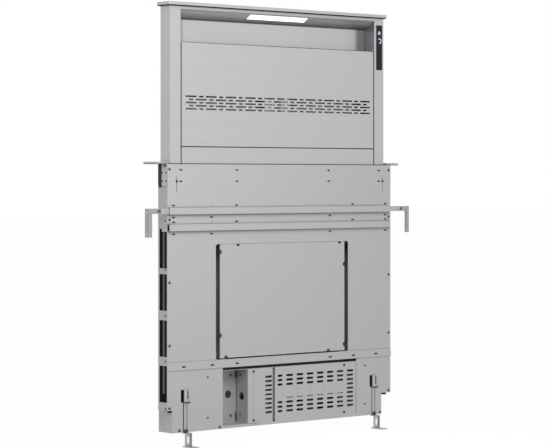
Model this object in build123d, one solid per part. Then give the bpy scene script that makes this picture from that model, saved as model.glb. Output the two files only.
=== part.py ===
from build123d import *
import math
import os

# Pop-up downdraft vent. Millimetres, +Z up, +X to the right of someone facing the front, +Y to the back.
# Origin: on the worktop plane (Z = 0), on the centre line, at the front face of the rising chimney.
# Drawn with the chimney fully raised, as it stands in use.

# ---------------------------------------------------------------- driving dimensions
# rising chimney
chimney_width = 820.0
chimney_depth = 44.0
chimney_rise = 460.0          # top of the cap above the worktop, raised
chimney_tail = 110.0          # length that stays inside the housing when raised
chimney_sheet = 1.0
cap_rest_gap = 3.0            # the lowered cap stops this far above the housing
post_width = 38.5
cap_height = 9.0
cap_sheet = 1.5
cap_side_overhang = 7.5
cap_face_overhang = 8.0
header_lip = 11.0             # upright strip under the cap, above the sloped light panel
header_slope_drop = 26.0      # fall of the light panel from front to back
lens_length = 220.0
lens_depth = 23.0
lens_setback = 6.0            # lens edge behind the front of the sloped panel
lens_thickness = 2.0
intake_height = 94.0          # from the header lip down to the top edge of the door
door_height = 294.5
door_side_gap = 3.5
door_bottom_gap = 3.0
door_flange = 12.0
hinge_inset = 6.0             # door pivot above and behind its lower front edge
hinge_pin_radius = 2.0
hinge_clearance = 0.05

# perforations of the door
perf_pitch = 36.3
perf_row_pitch = 8.85
perf_height = 4.8
perf_long = 40.0
perf_short = 16.0
perf_centre_odd = 30.0
perf_centre_even = 54.0
perf_first = 43.5             # first slot beside the centre one
perf_per_side = 9
perf_rows = 5
perf_drop = 170.5             # door top edge to the middle row

# filters
filter_height = 258.0
filter_thickness = 8.0
filter_frame = 10.0
filter_inner_stile = 34.0      # the wide stile beside the lift screw
filter_mesh = 3.0
filter_centre_gap = 28.0      # the lift screw passes between the two filters
filter_end_gap = 6.5
ledge_thickness = 2.8
ledge_height = 8.0

# touch control
glass_width = 24.5
glass_height = 136.0
glass_drop = 23.7             # glass top below the underside of the cap
glass_offset = 17.4           # glass centre to the outer side of the post
glass_thickness = 3.0
glass_proud = 0.5
glass_clearance = 0.3

# fixed housing
housing_sheet = 1.2
front_gap = 12.0              # front sheet ahead of the chimney face
back_gap = 7.0                # back panel behind the chimney
wing_width = 18.0             # side channel beyond the chimney
wing_depth = 43.0
apron_height = 160.0
main_sheet_end = 572.0        # lower edge of the main front sheet below the worktop
wing_end = 695.0
case_end = 759.0
case_left_overhang = 1.0      # the lower case is not centred under the chimney
case_right_inset = 20.0
chimney_side_clearance = 1.8

# cover plate of the blower opening, between the two long slots
access_top = 229.3
access_bottom = 556.0
access_half_width = 239.0
access_slot = 15.0
access_gap_top = 0.8
access_gap_bottom = 4.0
opening_corner = 7.0
notch_radius = 7.0
left_notch_levels = (251.0, 491.0)
right_notch_levels = (297.0, 537.7)
top_notch_places = (-172.0, 220.0)
bottom_notch_places = (-217.0, 175.0)

# rails and band
rail_height = 19.0
rail_depth = 11.0
rail_sheet = 1.2
rail_right_inset = 10.0        # right ends of the rails to the wing's edge
rail_upper_offset = 27.5      # above the seam of apron and main sheet
rail_lower_offset = 19.5      # below that seam
band_overlap = 12.0           # the band covers the seam of main and lower sheet
band_height = 24.0
band_thickness = 2.0
band_hole_drop = 13.7         # holes below the upper edge of the band
band_hole_length = 13.2
band_hole_height = 4.8

# electronics bay in the lower case
bay_left = 229.0
bay_right = 287.0
tray_divider = 137.0          # wall between the open junction bay and the closed electronics
tray_depth = 53.0
tray_top = 592.0
tray_bottom = 752.0
tray_sheet = 1.2
bay_opening_top = 582.0
knockout_radius = 11.1
knockout_depth_place = 16.0
knockout_level = 673.0
back_knockout_place = 168.0
back_knockout_level = 667.5
cover_top = 593.0
cover_bottom = 751.0
wiring_cover_end = 42.0
wiring_step_end = 92.0
vent_cover_start = 33.0
vent_cover_end = 285.5
louvre_pitch = 39.8
louvre_row_pitch = 13.0
louvre_length = 26.0
louvre_height = 6.5
louvre_top = 619.0
louvre_rows = 9
louvre_end_rows = 3
louvre_first = 262.0

# what the electronics bay holds; board places count from the board's left end and the tray's lower edge
board_inset_left = 23.0       # board to the ends of the vented cover
board_inset_right = 65.5
board_margin = 14.0
board_post_inset = 6.0
board_post_radius = 3.0
board_standoff = 8.0
board_thickness = 1.6
board_parts = (
    (30.0, 28.0, 16.0, 20.0, 112.0),
    (70.0, 28.0, 16.0, 20.0, 112.0),
    (120.0, 40.0, 22.0, 50.0, 92.0),
    (180.0, 30.0, 14.0, 30.0, 102.0),
    (40.0, 22.0, 12.0, 40.0, 42.0),
    (105.0, 50.0, 10.0, 30.0, 37.0),
    (175.0, 60.0, 18.0, 22.0, 37.0),
)
capacitor_inset = 31.0        # capacitor centre to the bay's right end
capacitor_radius = 15.0
capacitor_height = 77.0
capacitor_foot = 7.0
terminal_count = 4
terminal_pitch = 13.0
terminal_gap = 18.0           # from the dividing wall
terminal_depth = 18.0
terminal_height = 24.0
terminal_foot = 52.0

# duct outlet in the back panel
outlet_width = 254.0
outlet_height = 83.0
outlet_level = 330.0
outlet_bolt_x = 278.0
outlet_bolt_z = 60.0
outlet_bolt_radius = 2.2

# worktop ears
ear_inner_gap = 8.0
ear_length = 47.0
ear_height = 7.0
ear_sheet = 1.5
gasket_thickness = 1.5
ear_leg_height = 62.0
ear_leg_depth = 24.0
ear_leg_setback = 1.0
ear_screw_spacing_y = 18.5
ear_screw_spacing_z = 23.0
ear_screw_drop = 24.5
relief_height = 6.5
relief_depth = 12.0
relief_setback = 5.0
strip_width = 15.0
strip_thickness = 3.0
strip_height = 65.5

# wiper seals round the chimney
seal_gap = 0.4
seal_height = 10.0
seal_lip_width = 2.4
seal_lip_height = 1.6         # the lip stands up round the chimney

# side arms
arm_overhang = 71.0           # outer face of the arm flange beyond the housing
arm_clearance = 0.5
arm_wall = 1.5
arm_engagement = 98.0         # length of the tongue inside the rail
arm_bracket_length = 41.0
arm_screw_place = 35.0        # screw to the flange's outer face
arm_bracket_overlap = 14.0
arm_bracket_height = 15.0
arm_bracket_thickness = 3.0
arm_leg_length = 80.5          # down from the top of the arm's bar
arm_leg_width = 12.0
arm_flange_depth = 18.0
arm_hole_spacing = 60.0
arm_hole_radius = 2.75

# telescopic side slides
slide_wall = 1.5
slide_gap = 0.5
slide_outer_width = 32.0
slide_front = 3.5             # front edge of the outer member ahead of the chimney face
slide_outer_top = 175.0
slide_outer_bottom = 688.0
slide_middle_top = 120.0
slide_middle_bottom = 460.0
slide_inner_top = 5.0
slide_inner_bottom = 240.0
slide_strip_width = 9.8
slide_strip_inset = 3.5       # behind the front wall of the outer member
slide_strip_top = 185.0
slide_strip_bottom = 647.0
slide_spacer_height = 20.0
window_tops = (190.9, 310.2, 440.3, 568.9)
window_height = 103.0
window_notch_height = 8.5
window_notch_depth = 11.0
window_front = 2.5            # window edge behind the front sheet
window_depth = 34.5

# lift drive
screw_radius = 6.0
screw_place = 22.0            # screw axis behind the chimney face
screw_top = 30.0
nut_top = 32.0
nut_height = 24.0
nut_radius = 11.0
nut_clearance = 0.05
crosshead_height = 22.0
crosshead_bar = 3.0
crosshead_block = 22.0
gearbox_width = 48.0
gearbox_depth = 36.0
gearbox_height = 41.0
motor_radius = 17.0
motor_length = 116.0
hub_radius = 9.0
hub_height = 4.0
shank_radius = 4.0
shank_length = 12.0
bracket_height = 8.8
switch_place = 130.0          # limit switches on the back panel
switch_length = 20.0
switch_height = 10.0
switch_depth = 4.2
switch_upper_gap = 40.0       # below the raised chimney's end
switch_lower_gap = 21.8       # above the shelf

# front legs
foot_level = 800.0            # foot plates below the worktop
leg_left_inset = 63.2         # slot centres to the housing's sides
leg_right_inset = 70.5
leg_bar_offset = 2.0          # bar to the right of its slot's centre
leg_bar_width = 10.6
leg_bar_thickness = 3.0
leg_bar_top = 640.0
leg_clearance = 0.3
leg_slot_width = 15.5
leg_window_width = 30.6
leg_window_top = 638.5
leg_window_bottom = 674.0
leg_channel_width = 22.4
leg_channel_depth = 5.0
leg_channel_wall = 2.0
leg_channel_setout = 10.0     # back of the channel ahead of the front sheet
leg_eye_width = 7.0           # slot through the channel
leg_eye_height = 19.0
leg_eye_drop = 19.5           # below the top of the channel
foot_length = 48.0
foot_thickness = 3.0
foot_width = 22.4
leg_bolt_level = 754.5
leg_bolt_radius = 5.0
leg_bolt_length = 5.5
guide_width = 30.0
guide_height = 10.0
guide_wall = 1.5
guide_upper_gap = 11.0        # below the leg's window
guide_lower_gap = 34.0        # above the case's lower edge

# hole rows of the front, counted from the worktop or from the seam of apron and main sheet
apron_hole_level = 16.0
slit_level = 48.4
slit_top = 34.0
slit_bottom = 80.0
slit_width = 1.6
slit_inset = 15.0             # slit to the chimney's side
apron_row_near = 43.0
apron_row_far = 9.0
row_gap_near = 4.0
row_gap_far = 38.0
row_top_inner = 176.3
row_outer_inset = 30.0
row_near_inner = (-178.0, 273.0)
row_far_inner = (-270.0, 181.0)
row_side_inset = 4.0
small_holes = (-268.0, 181.5)
band_holes = (-371.0, -268.0, -176.3, 181.5, 274.0, 366.3)
case_hole_places = (-283.5, 322.2)
case_hole_levels = (607.5, 723.5)

# fasteners
edge_screw_inset = 7.5
edge_screw_levels = (334.0, 512.0, 688.5)
corner_screw_level = 14.5
seam_screw_gap = 3.0
cover_screw_places = (-115.0, 238.0)
cover_screw_inset = 8.0
case_screw_inset = 6.0        # small screws above the case's lower edge
case_screw_left = 25.2
case_screw_middle = 240.0
case_screw_right = 5.0
bay_screw_place = 159.0
bay_screw_levels = (612.0, 730.0)
bay_screw_depth = 21.0
hole_length = 11.0
hole_height = 4.0
small_hole_radius = 1.6
pan_head_radius = 3.6
pan_head_height = 1.6
small_head_radius = 2.5
screw_cap = 1.4
ear_screw_inset = 2.8

# ---------------------------------------------------------------- derived places
half_width = chimney_width / 2
post_inner = half_width - post_width
travel = chimney_rise - cap_height - cap_rest_gap
door_half = post_inner - door_side_gap
cap_under = chimney_rise - cap_height
cap_plate_under = chimney_rise - cap_sheet
lip_bottom = cap_under - header_lip
slope_back = lip_bottom - header_slope_drop
door_top = lip_bottom - intake_height
door_bottom = door_top - door_height
panel_top = door_bottom - door_bottom_gap
hinge_y = hinge_inset
hinge_z = door_bottom + hinge_inset
perf_middle = door_top - perf_drop
chimney_back = chimney_depth
back_sheet_front = chimney_depth - chimney_sheet
crosshead_top = -nut_top - 4.0

front_face = -front_gap
front_inner = front_face + housing_sheet
back_face = chimney_depth + back_gap
back_inner = back_face - housing_sheet
wing_half = half_width + wing_width
case_left = half_width + case_left_overhang
case_right = half_width - case_right_inset
arm_reach = wing_half + arm_overhang
leg_places = (leg_left_inset - wing_half, wing_half - leg_right_inset)
arm_tongue_end = arm_reach - arm_bracket_length
arm_tongue_start = wing_half - arm_engagement
wing_inner = wing_half - housing_sheet
wing_back = front_face + wing_depth
web_outer = half_width + chimney_side_clearance + housing_sheet
web_inner = half_width + chimney_side_clearance
seam = -apron_height
rail_upper_z = seam + rail_upper_offset
rail_lower_z = seam - rail_lower_offset
band_top = main_sheet_end - band_overlap
opening_bottom = access_bottom + access_gap_bottom
shelf_level = opening_bottom + 1.8

rail_face = front_face - rail_depth
rail_inner = rail_face + rail_sheet
slit_place = half_width - slit_inset
row_top = (row_outer_inset - half_width, -row_top_inner, row_top_inner, half_width - row_outer_inset)
row_near = (row_side_inset - half_width, *row_near_inner, half_width - row_side_inset)
row_far = (row_side_inset - half_width, *row_far_inner, half_width - row_side_inset)
ear_start = half_width + ear_inner_gap
ear_end = ear_start + ear_length
ear_front = -cap_face_overhang
ear_back = chimney_depth + cap_face_overhang
ear_leg_front = front_face + ear_leg_setback

both_sides = (-1, 1)


# ---------------------------------------------------------------- helpers
def block(x_range, y_range, z_range):
    """A box between two X, two Y and two Z places."""
    x0, x1 = sorted(x_range)
    y0, y1 = sorted(y_range)
    z0, z1 = sorted(z_range)
    centre = ((x0 + x1) / 2, (y0 + y1) / 2, (z0 + z1) / 2)
    return Pos(*centre) * Box(x1 - x0, y1 - y0, z1 - z0)


def rod_x(x_range, y, z, radius):
    """A cylinder along X."""
    x0, x1 = sorted(x_range)
    return Pos((x0 + x1) / 2, y, z) * Rot(0, 90, 0) * Cylinder(radius, x1 - x0)


def rod_y(x, y_range, z, radius):
    """A cylinder along Y."""
    y0, y1 = sorted(y_range)
    return Pos(x, (y0 + y1) / 2, z) * Rot(90, 0, 0) * Cylinder(radius, y1 - y0)


def rod_z(x, y, z_range, radius):
    """A cylinder along Z."""
    z0, z1 = sorted(z_range)
    return Pos(x, y, (z0 + z1) / 2) * Cylinder(radius, z1 - z0)


def slot_y(x, z, length, height, y_range):
    """A round-ended slot, lying along X and cut through along Y."""
    y0, y1 = sorted(y_range)
    flat = length - height
    body = block((x - flat / 2, x + flat / 2), (y0, y1), (z - height / 2, z + height / 2))
    ends = [rod_y(x + side * flat / 2, (y0, y1), z, height / 2) for side in both_sides]
    return body + ends


def slot_upright(x, z, width, length, y_range):
    """A round-ended slot, standing along Z and cut through along Y."""
    y0, y1 = sorted(y_range)
    flat = length - width
    body = block((x - width / 2, x + width / 2), (y0, y1), (z - flat / 2, z + flat / 2))
    ends = [rod_y(x, (y0, y1), z + side * flat / 2, width / 2) for side in both_sides]
    return body + ends


def mirrored(side, near, far):
    """The X range between two distances from the centre line, on one side."""
    return (side * near, side * far)


def front_cut():
    """The Y range of a cut through a front sheet of the housing."""
    return (front_face - 1.0, front_inner + 1.0)


def band_slot(place, y_range):
    """A mounting slot of the lower band, which also passes through the sheets behind it."""
    return slot_y(place, -band_top - band_hole_drop, band_hole_length, band_hole_height, y_range)


def save(name, *solids):
    """Write one node, made of one or more solids, as a STEP file."""
    shape = solids[0] if len(solids) == 1 else Compound(children=list(solids))
    export_step(shape, f"parts/{name}.step")


def pan_screw_front(x, z, face):
    """Pan head of a screw on a front face."""
    head = rod_y(x, (face - pan_head_height, face), z, pan_head_radius)
    rim = head.edges().group_by(Axis.Y)[0]
    return fillet(rim, pan_head_height * 0.6)


os.makedirs("parts", exist_ok=True)

# ---------------------------------------------------------------- chimney: posts, cap, header, sheets
post_bottom = -chimney_tail
glass_top = cap_under - glass_drop
glass_bottom = glass_top - glass_height
glass_centre = half_width - glass_offset
glass_front = -glass_proud
for side, name in ((-1, "post_left"), (1, "post_right")):
    post = block(mirrored(side, post_inner, half_width), (0, chimney_depth), (post_bottom, cap_plate_under))
    hollow = block(
        mirrored(side, post_inner + chimney_sheet, half_width - chimney_sheet),
        (chimney_sheet, chimney_depth - chimney_sheet),
        (post_bottom - 1, cap_plate_under + 1),
    )
    post = post - hollow
    if side > 0:
        glass_cut_half = glass_width / 2 + glass_clearance
        post = post - block(
            (glass_centre - glass_cut_half, glass_centre + glass_cut_half),
            (-1, chimney_sheet + 1),
            (glass_bottom - glass_clearance, glass_top + glass_clearance),
        )
    save(name, post)

cap_half = half_width + cap_side_overhang
cap_front = -cap_face_overhang
cap_back = chimney_depth + cap_face_overhang
cap = block((-cap_half, cap_half), (cap_front, cap_back), (cap_under, chimney_rise))
cap = fillet(cap.edges().filter_by(Axis.Z), 2.0)
cap = fillet(cap.edges().group_by(Axis.Z)[-1], 0.8)
cap = cap - block(
    (-cap_half + cap_sheet, cap_half - cap_sheet),
    (cap_front + cap_sheet, cap_back - cap_sheet),
    (cap_under - 1, cap_plate_under),
)
save("cap", cap)

# header: upright lip, sloped light panel with the lens window, closed at the back by the back sheet
slope_angle = math.atan2(header_slope_drop, back_sheet_front)
slope_plane = Plane(
    origin=(0, 0, lip_bottom),
    x_dir=(1, 0, 0),
    z_dir=(0, math.sin(slope_angle), math.cos(slope_angle)),
)
slope_rise = chimney_sheet / math.cos(slope_angle)
header_profile = Polyline(
    (0, cap_plate_under),
    (0, lip_bottom),
    (back_sheet_front, slope_back),
    (back_sheet_front, slope_back + slope_rise),
    (chimney_sheet, lip_bottom + slope_rise - chimney_sheet * math.tan(slope_angle)),
    (chimney_sheet, cap_plate_under),
    close=True,
)
header = extrude(Plane.YZ * make_face(header_profile), post_inner, both=True)
lens_middle = lens_setback / math.cos(slope_angle) + lens_depth / 2
lens_window = slope_plane * Pos(0, lens_middle, 0) * Box(lens_length, lens_depth, 8)
header = header - lens_window
save("header", header)

lens = slope_plane * Pos(0, lens_middle, lens_thickness / 2) * Box(
    lens_length - 0.4, lens_depth - 0.4, lens_thickness
)
save("led_lens", lens)

led_board_level = lens_thickness + 2.0
led_board = slope_plane * Pos(0, lens_middle, led_board_level + 0.8) * Box(
    lens_length + 20, lens_depth - 6, 1.6
)
led_spacers = [
    slope_plane * Pos(side * (lens_length / 2 + 6), lens_middle, led_board_level / 2 + chimney_sheet / 2)
    * Box(6, 8, led_board_level - chimney_sheet)
    for side in both_sides
]
led_count = 6
led_pitch = lens_length / led_count
led_chips = [
    slope_plane * Pos((number - (led_count - 1) / 2) * led_pitch, lens_middle, led_board_level - 0.5)
    * Box(5, 5, 1.0)
    for number in range(led_count)
]
save("led_board", led_board + led_spacers + led_chips)

back_sheet = block((-post_inner, post_inner), (back_sheet_front, chimney_back), (post_bottom, cap_plate_under))
save("back_sheet", back_sheet)

# fixed lower front panel, with side flanges and hidden tabs that reach the posts
panel_flange = 10.0
lower_panel = block((-door_half, door_half), (0, chimney_sheet), (post_bottom, panel_top))
for side in both_sides:
    lower_panel = lower_panel + block(
        mirrored(side, door_half - chimney_sheet, door_half), (0, panel_flange), (crosshead_top, panel_top - 20)
    )
    lower_panel = lower_panel + block(
        mirrored(side, door_half - chimney_sheet, post_inner),
        (chimney_sheet, 2 * chimney_sheet),
        (post_bottom, -20),
    )
save("lower_panel", lower_panel)

# ---------------------------------------------------------------- door
hinge_span = 8.0
door = block((-door_half, door_half), (0, chimney_sheet), (door_bottom, door_top))
hinge_round = door_flange - hinge_inset
for side in both_sides:
    flange_x = mirrored(side, door_half - chimney_sheet, door_half)
    flange = block(flange_x, (0, door_flange), (hinge_z, door_top))
    flange = flange + block(flange_x, (0, hinge_y), (door_bottom + 1.5, hinge_z))
    flange = flange + rod_x(flange_x, hinge_y, hinge_z, hinge_round)
    flange = flange - rod_x(
        mirrored(side, door_half - 3, door_half + 3), hinge_y, hinge_z, hinge_pin_radius + hinge_clearance
    )
    door = door + flange
door = door + block((-door_half, door_half), (0, door_flange), (door_top - chimney_sheet, door_top))
perforations = []
for row in range(perf_rows):
    odd_row = row % 2 == 0
    row_z = perf_middle + (row - (perf_rows - 1) / 2) * perf_row_pitch
    centre_length = perf_centre_odd if odd_row else perf_centre_even
    perforations.append(slot_y(0, row_z, centre_length, perf_height, (-1, chimney_sheet + 1)))
    for number in range(perf_per_side):
        is_long = (number % 2 == 0) == odd_row
        length = perf_long if is_long else perf_short
        for side in both_sides:
            place = side * (perf_first + number * perf_pitch)
            perforations.append(slot_y(place, row_z, length, perf_height, (-1, chimney_sheet + 1)))
door = door - perforations
save("door_panel", door)

hinge_pins = [
    rod_x(mirrored(side, post_inner - hinge_span, post_inner), hinge_y, hinge_z, hinge_pin_radius)
    for side in both_sides
]
save("door_hinge_pins", *hinge_pins)

catch_clearance = 0.3
catch_width = 16.0
door_catches = [
    block(
        mirrored(side, post_inner - catch_width, post_inner),
        (door_flange + catch_clearance, door_flange + catch_clearance + 8),
        (door_top - 22, door_top - 8),
    )
    for side in both_sides
]
save("door_catches", *door_catches)

# ---------------------------------------------------------------- filters and their ledges
filter_front = door_flange + 0.6 + ledge_thickness
filter_bottom = door_bottom + 10.5
filter_top = filter_bottom + filter_height
ledge_depth = filter_thickness + 1.0
ledge_centre_gap = filter_centre_gap / 2
lower_ledge = block(
    (-post_inner, post_inner),
    (filter_front - ledge_thickness, filter_front),
    (filter_bottom - ledge_height, filter_bottom + 2),
)
for side in both_sides:
    lower_ledge = lower_ledge + block(
        mirrored(side, ledge_centre_gap, post_inner),
        (filter_front, filter_front + ledge_depth),
        (filter_bottom - 1.2, filter_bottom),
    )
upper_ledge_top = filter_top + 1.2
upper_ledge = block(
    (-post_inner, post_inner),
    (filter_front - ledge_thickness, filter_front),
    (upper_ledge_top - ledge_height, upper_ledge_top),
)
save("filter_ledges", lower_ledge, upper_ledge)
filters = []
for side in both_sides:
    filter_x = mirrored(side, filter_centre_gap / 2, post_inner - filter_end_gap)
    filter_y = (filter_front, filter_front + filter_thickness)
    frame_outer = block(filter_x, filter_y, (filter_bottom, filter_top))
    inner_x = mirrored(
        side, filter_centre_gap / 2 + filter_inner_stile, post_inner - filter_end_gap - filter_frame
    )
    inner_z = (filter_bottom + filter_frame, filter_top - filter_frame)
    frame_ring = frame_outer - block(inner_x, (filter_front - 1, filter_front + filter_thickness + 1), inner_z)
    mesh_front = filter_front + (filter_thickness - filter_mesh) / 2
    mesh = block(inner_x, (mesh_front, mesh_front + filter_mesh), inner_z)
    filters.extend((frame_ring, mesh))
save("grease_filters", *filters)

# ---------------------------------------------------------------- touch control
control_glass = block(
    (glass_centre - glass_width / 2, glass_centre + glass_width / 2),
    (glass_front, glass_front + glass_thickness),
    (glass_bottom, glass_top),
)
control_glass = fillet(control_glass.edges().filter_by(Axis.Y), 1.5)
save("control_glass", control_glass)
touch_front = glass_front + glass_thickness
touch_board = block(
    (glass_centre - glass_width / 2 - 3, glass_centre + glass_width / 2 + 3),
    (touch_front, touch_front + 1.6),
    (glass_bottom - 6, glass_top + 6),
)
touch_chip = block(
    (glass_centre - 6, glass_centre + 6),
    (touch_front + 1.6, touch_front + 4),
    (glass_bottom + 20, glass_bottom + 32),
)
touch_board = touch_board + touch_chip
for start in (glass_bottom - 6, glass_top + 1):
    touch_board = touch_board + block(
        (glass_centre - glass_width / 2 - 3, glass_centre + glass_width / 2 + 3),
        (chimney_sheet, touch_front),
        (start, start + 5),
    )
save("touch_board", touch_board)

# ---------------------------------------------------------------- lift: crosshead, nut, screw, gearmotor
crosshead_z = (crosshead_top - crosshead_height, crosshead_top)
crosshead = block(
    (-post_inner, post_inner), (chimney_sheet * 2, chimney_sheet * 2 + crosshead_bar), crosshead_z
)
crosshead = crosshead + block(
    (-post_inner, post_inner), (back_sheet_front - crosshead_bar, back_sheet_front), crosshead_z
)
crosshead = crosshead + block(
    (-crosshead_block, crosshead_block), (chimney_sheet * 2, back_sheet_front), crosshead_z
)
crosshead = crosshead - rod_z(0, screw_place, (crosshead_z[0] - 1, crosshead_z[1] + 1), nut_radius)
save("crosshead", crosshead)

nut_bottom = -nut_top - nut_height
nut = rod_z(0, screw_place, (nut_bottom, -nut_top), nut_radius)
nut = nut + rod_z(0, screw_place, (crosshead_top, -nut_top), nut_radius + 4)
nut = nut - rod_z(0, screw_place, (nut_bottom - 1, -nut_top + 1), screw_radius + nut_clearance)
save("lift_nut", nut)

gearbox_bottom = -shelf_level + bracket_height
gearbox_top = gearbox_bottom + gearbox_height
hub_top = gearbox_top + hub_height
gearbox_y = (screw_place - gearbox_depth / 2, screw_place + gearbox_depth / 2)
gearbox = block((-gearbox_width / 2, gearbox_width / 2), gearbox_y, (gearbox_bottom, gearbox_top))
gearbox = fillet(gearbox.edges().filter_by(Axis.Z), 4.0)
gearbox = gearbox + rod_z(0, screw_place, (gearbox_top, hub_top), hub_radius)
motor_z = gearbox_bottom + 3 + motor_radius
motor_can = rod_x((-gearbox_width / 2 - motor_length, -gearbox_width / 2), screw_place, motor_z, motor_radius)
motor_cap = rod_x(
    (-gearbox_width / 2 - motor_length - 6, -gearbox_width / 2 - motor_length), screw_place, motor_z, 6
)
gearbox = gearbox + motor_can + motor_cap
gearbox = gearbox - rod_z(
    0, screw_place, (hub_top - shank_length, hub_top + 1), shank_radius + nut_clearance
)
save("gearmotor", gearbox)

screw_bottom = hub_top + 0.5
lead_screw = rod_z(0, screw_place, (screw_bottom, -screw_top), screw_radius)
lead_screw = chamfer(lead_screw.edges().group_by(Axis.Z)[-1], 1.0)
lead_screw = lead_screw + rod_z(
    0, screw_place, (hub_top - shank_length + 0.5, screw_bottom), shank_radius
)
save("lead_screw", lead_screw)

motor_bracket = block(
    (-gearbox_width / 2 - 40, gearbox_width / 2 + 16), gearbox_y, (-shelf_level, -shelf_level + 2)
)
for place in (-gearbox_width / 2 - 30, -gearbox_width / 2 + 4, gearbox_width / 2 - 10):
    motor_bracket = motor_bracket + block(
        (place, place + 6), gearbox_y, (-shelf_level, gearbox_bottom)
    )
save("motor_bracket", motor_bracket)

# ---------------------------------------------------------------- housing sheets
front_sheet = block((-wing_half, wing_half), (front_face, front_inner), (-main_sheet_end, seam))
opening_half = access_half_width + access_slot
opening = block((-opening_half, opening_half), front_cut(), (-opening_bottom, -access_top + access_gap_top))
front_sheet = front_sheet - fillet(opening.edges().filter_by(Axis.Y), opening_corner)
for level, places in ((seam - row_gap_near, row_near), (seam - row_gap_far, row_far)):
    for place in places:
        front_sheet = front_sheet - slot_y(place, level, hole_length, hole_height, front_cut())
for place in small_holes:
    front_sheet = front_sheet - rod_y(place, front_cut(), seam - row_gap_near, small_hole_radius)
for place in band_holes:
    front_sheet = front_sheet - band_slot(place, front_cut())
save("front_sheet", front_sheet)

apron_lip = 7.0
upper_apron = block((-wing_half, wing_half), (front_face, front_inner), (seam, 0))
upper_apron = upper_apron + block(
    (-web_inner, web_inner), (front_inner, front_inner + apron_lip), (-housing_sheet, 0)
)
for level, places in (
    (-apron_hole_level, row_top),
    (-slit_level, row_top),
    (seam + apron_row_near, row_near),
    (seam + apron_row_far, row_far),
):
    for place in places:
        upper_apron = upper_apron - slot_y(place, level, hole_length, hole_height, front_cut())
for place in small_holes:
    upper_apron = upper_apron - rod_y(place, front_cut(), seam + apron_row_near, small_hole_radius)
for side in both_sides:
    upper_apron = upper_apron - block(
        (side * slit_place - slit_width / 2, side * slit_place + slit_width / 2),
        front_cut(),
        (-slit_bottom, -slit_top),
    )
save("upper_apron", upper_apron)

access_plate = block(
    (-access_half_width, access_half_width), (front_face, front_inner), (-access_bottom, -access_top)
)
notches = []
for side, levels in ((-1, left_notch_levels), (1, right_notch_levels)):
    for level in levels:
        notches.append(rod_y(side * access_half_width, front_cut(), -level, notch_radius))
for place in top_notch_places:
    notches.append(rod_y(place, front_cut(), -access_top, notch_radius))
for place in bottom_notch_places:
    notches.append(rod_y(place, front_cut(), -access_bottom, notch_radius))
access_plate = access_plate - notches
save("access_plate", access_plate)

# frame behind the cover plate: four bars that its screws bite into, fixed behind the front sheet
frame_bar = 22.0
frame_y = (front_inner, front_inner + 3.0)
access_frame = block((-access_half_width, access_half_width), frame_y, (-access_top - 12, -access_top + 8))
access_frame = access_frame + block(
    (-access_half_width, access_half_width), frame_y, (-access_bottom, -access_bottom + 12)
)
for side in both_sides:
    access_frame = access_frame + block(
        mirrored(side, access_half_width - frame_bar, access_half_width), frame_y, (-shelf_level, -access_top)
    )
save("access_frame", access_frame)

window_back = front_face + window_front + window_depth
relief_y = (front_face + relief_setback, front_face + relief_setback + relief_depth)
for side, name in ((-1, "side_channel_left"), (1, "side_channel_right")):
    case_edge = case_left if side < 0 else case_right
    channel = block(mirrored(side, wing_inner, wing_half), (front_inner, wing_back), (-wing_end, 0))
    channel = channel + block(
        mirrored(side, web_inner, wing_inner), (wing_back - housing_sheet, wing_back), (-wing_end, 0)
    )
    channel = channel + block(
        mirrored(side, web_inner, web_outer), (wing_back, back_inner), (-wing_end, 0)
    )
    channel = channel + block(
        mirrored(side, case_edge, wing_inner),
        (front_inner, wing_back - housing_sheet),
        (-wing_end, -wing_end + housing_sheet),
    )
    channel = channel + block(
        mirrored(side, min(case_edge, web_inner), web_inner + 0.1),
        (wing_back - housing_sheet, back_inner),
        (-wing_end, -wing_end + housing_sheet),
    )
    for top in window_tops:
        channel = channel - block(
            mirrored(side, wing_inner - 1, wing_half + 1),
            (front_face + window_front, window_back),
            (-top - window_height, -top),
        )
    channel = channel - block(
        mirrored(side, wing_inner - 1, wing_half + 1),
        (window_back - window_notch_depth, window_back),
        (-window_tops[0] - 1, -window_tops[0] + window_notch_height),
    )
    channel = channel - block(
        mirrored(side, wing_inner - 1, wing_half + 1), relief_y, (-relief_height - 1, -1)
    )
    save(name, channel)

back_panel = block((-web_outer, web_outer), (back_inner, back_face), (-wing_end, 0))
back_panel = back_panel + block((-case_left, case_right), (back_inner, back_face), (-case_end, -wing_end))
back_cut = (back_inner - 1, back_face + 1)
back_panel = back_panel - block(
    (-outlet_width / 2, outlet_width / 2),
    back_cut,
    (-outlet_level - outlet_height / 2, -outlet_level + outlet_height / 2),
)
for x_side in both_sides:
    for z_side in both_sides:
        back_panel = back_panel - rod_y(
            x_side * outlet_bolt_x / 2, back_cut, -outlet_level + z_side * outlet_bolt_z / 2, outlet_bolt_radius
        )
save("back_panel", back_panel)

# lower case: front sheet, ends, pan, shelf
lower_front = block((-wing_half, wing_half), (front_face, front_inner), (-wing_end, -main_sheet_end))
lower_front = lower_front + block(
    (-case_left, case_right), (front_face, front_inner), (-case_end, -wing_end)
)
lower_front = lower_front - block((-bay_left, bay_right), front_cut(), (-cover_bottom, -bay_opening_top))
for centre in leg_places:
    lower_front = lower_front - block(
        (centre - leg_window_width / 2, centre + leg_window_width / 2),
        front_cut(),
        (-leg_window_bottom, -leg_window_top),
    )
    lower_front = lower_front - block(
        (centre - leg_slot_width / 2, centre + leg_slot_width / 2),
        front_cut(),
        (-case_end - 1, -leg_window_bottom + 1),
    )
for place in case_hole_places:
    for level in case_hole_levels:
        lower_front = lower_front - slot_y(place, -level, hole_height * 2, hole_height, front_cut())
for place in band_holes:
    lower_front = lower_front - band_slot(place, front_cut())
save("lower_front", lower_front)

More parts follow.
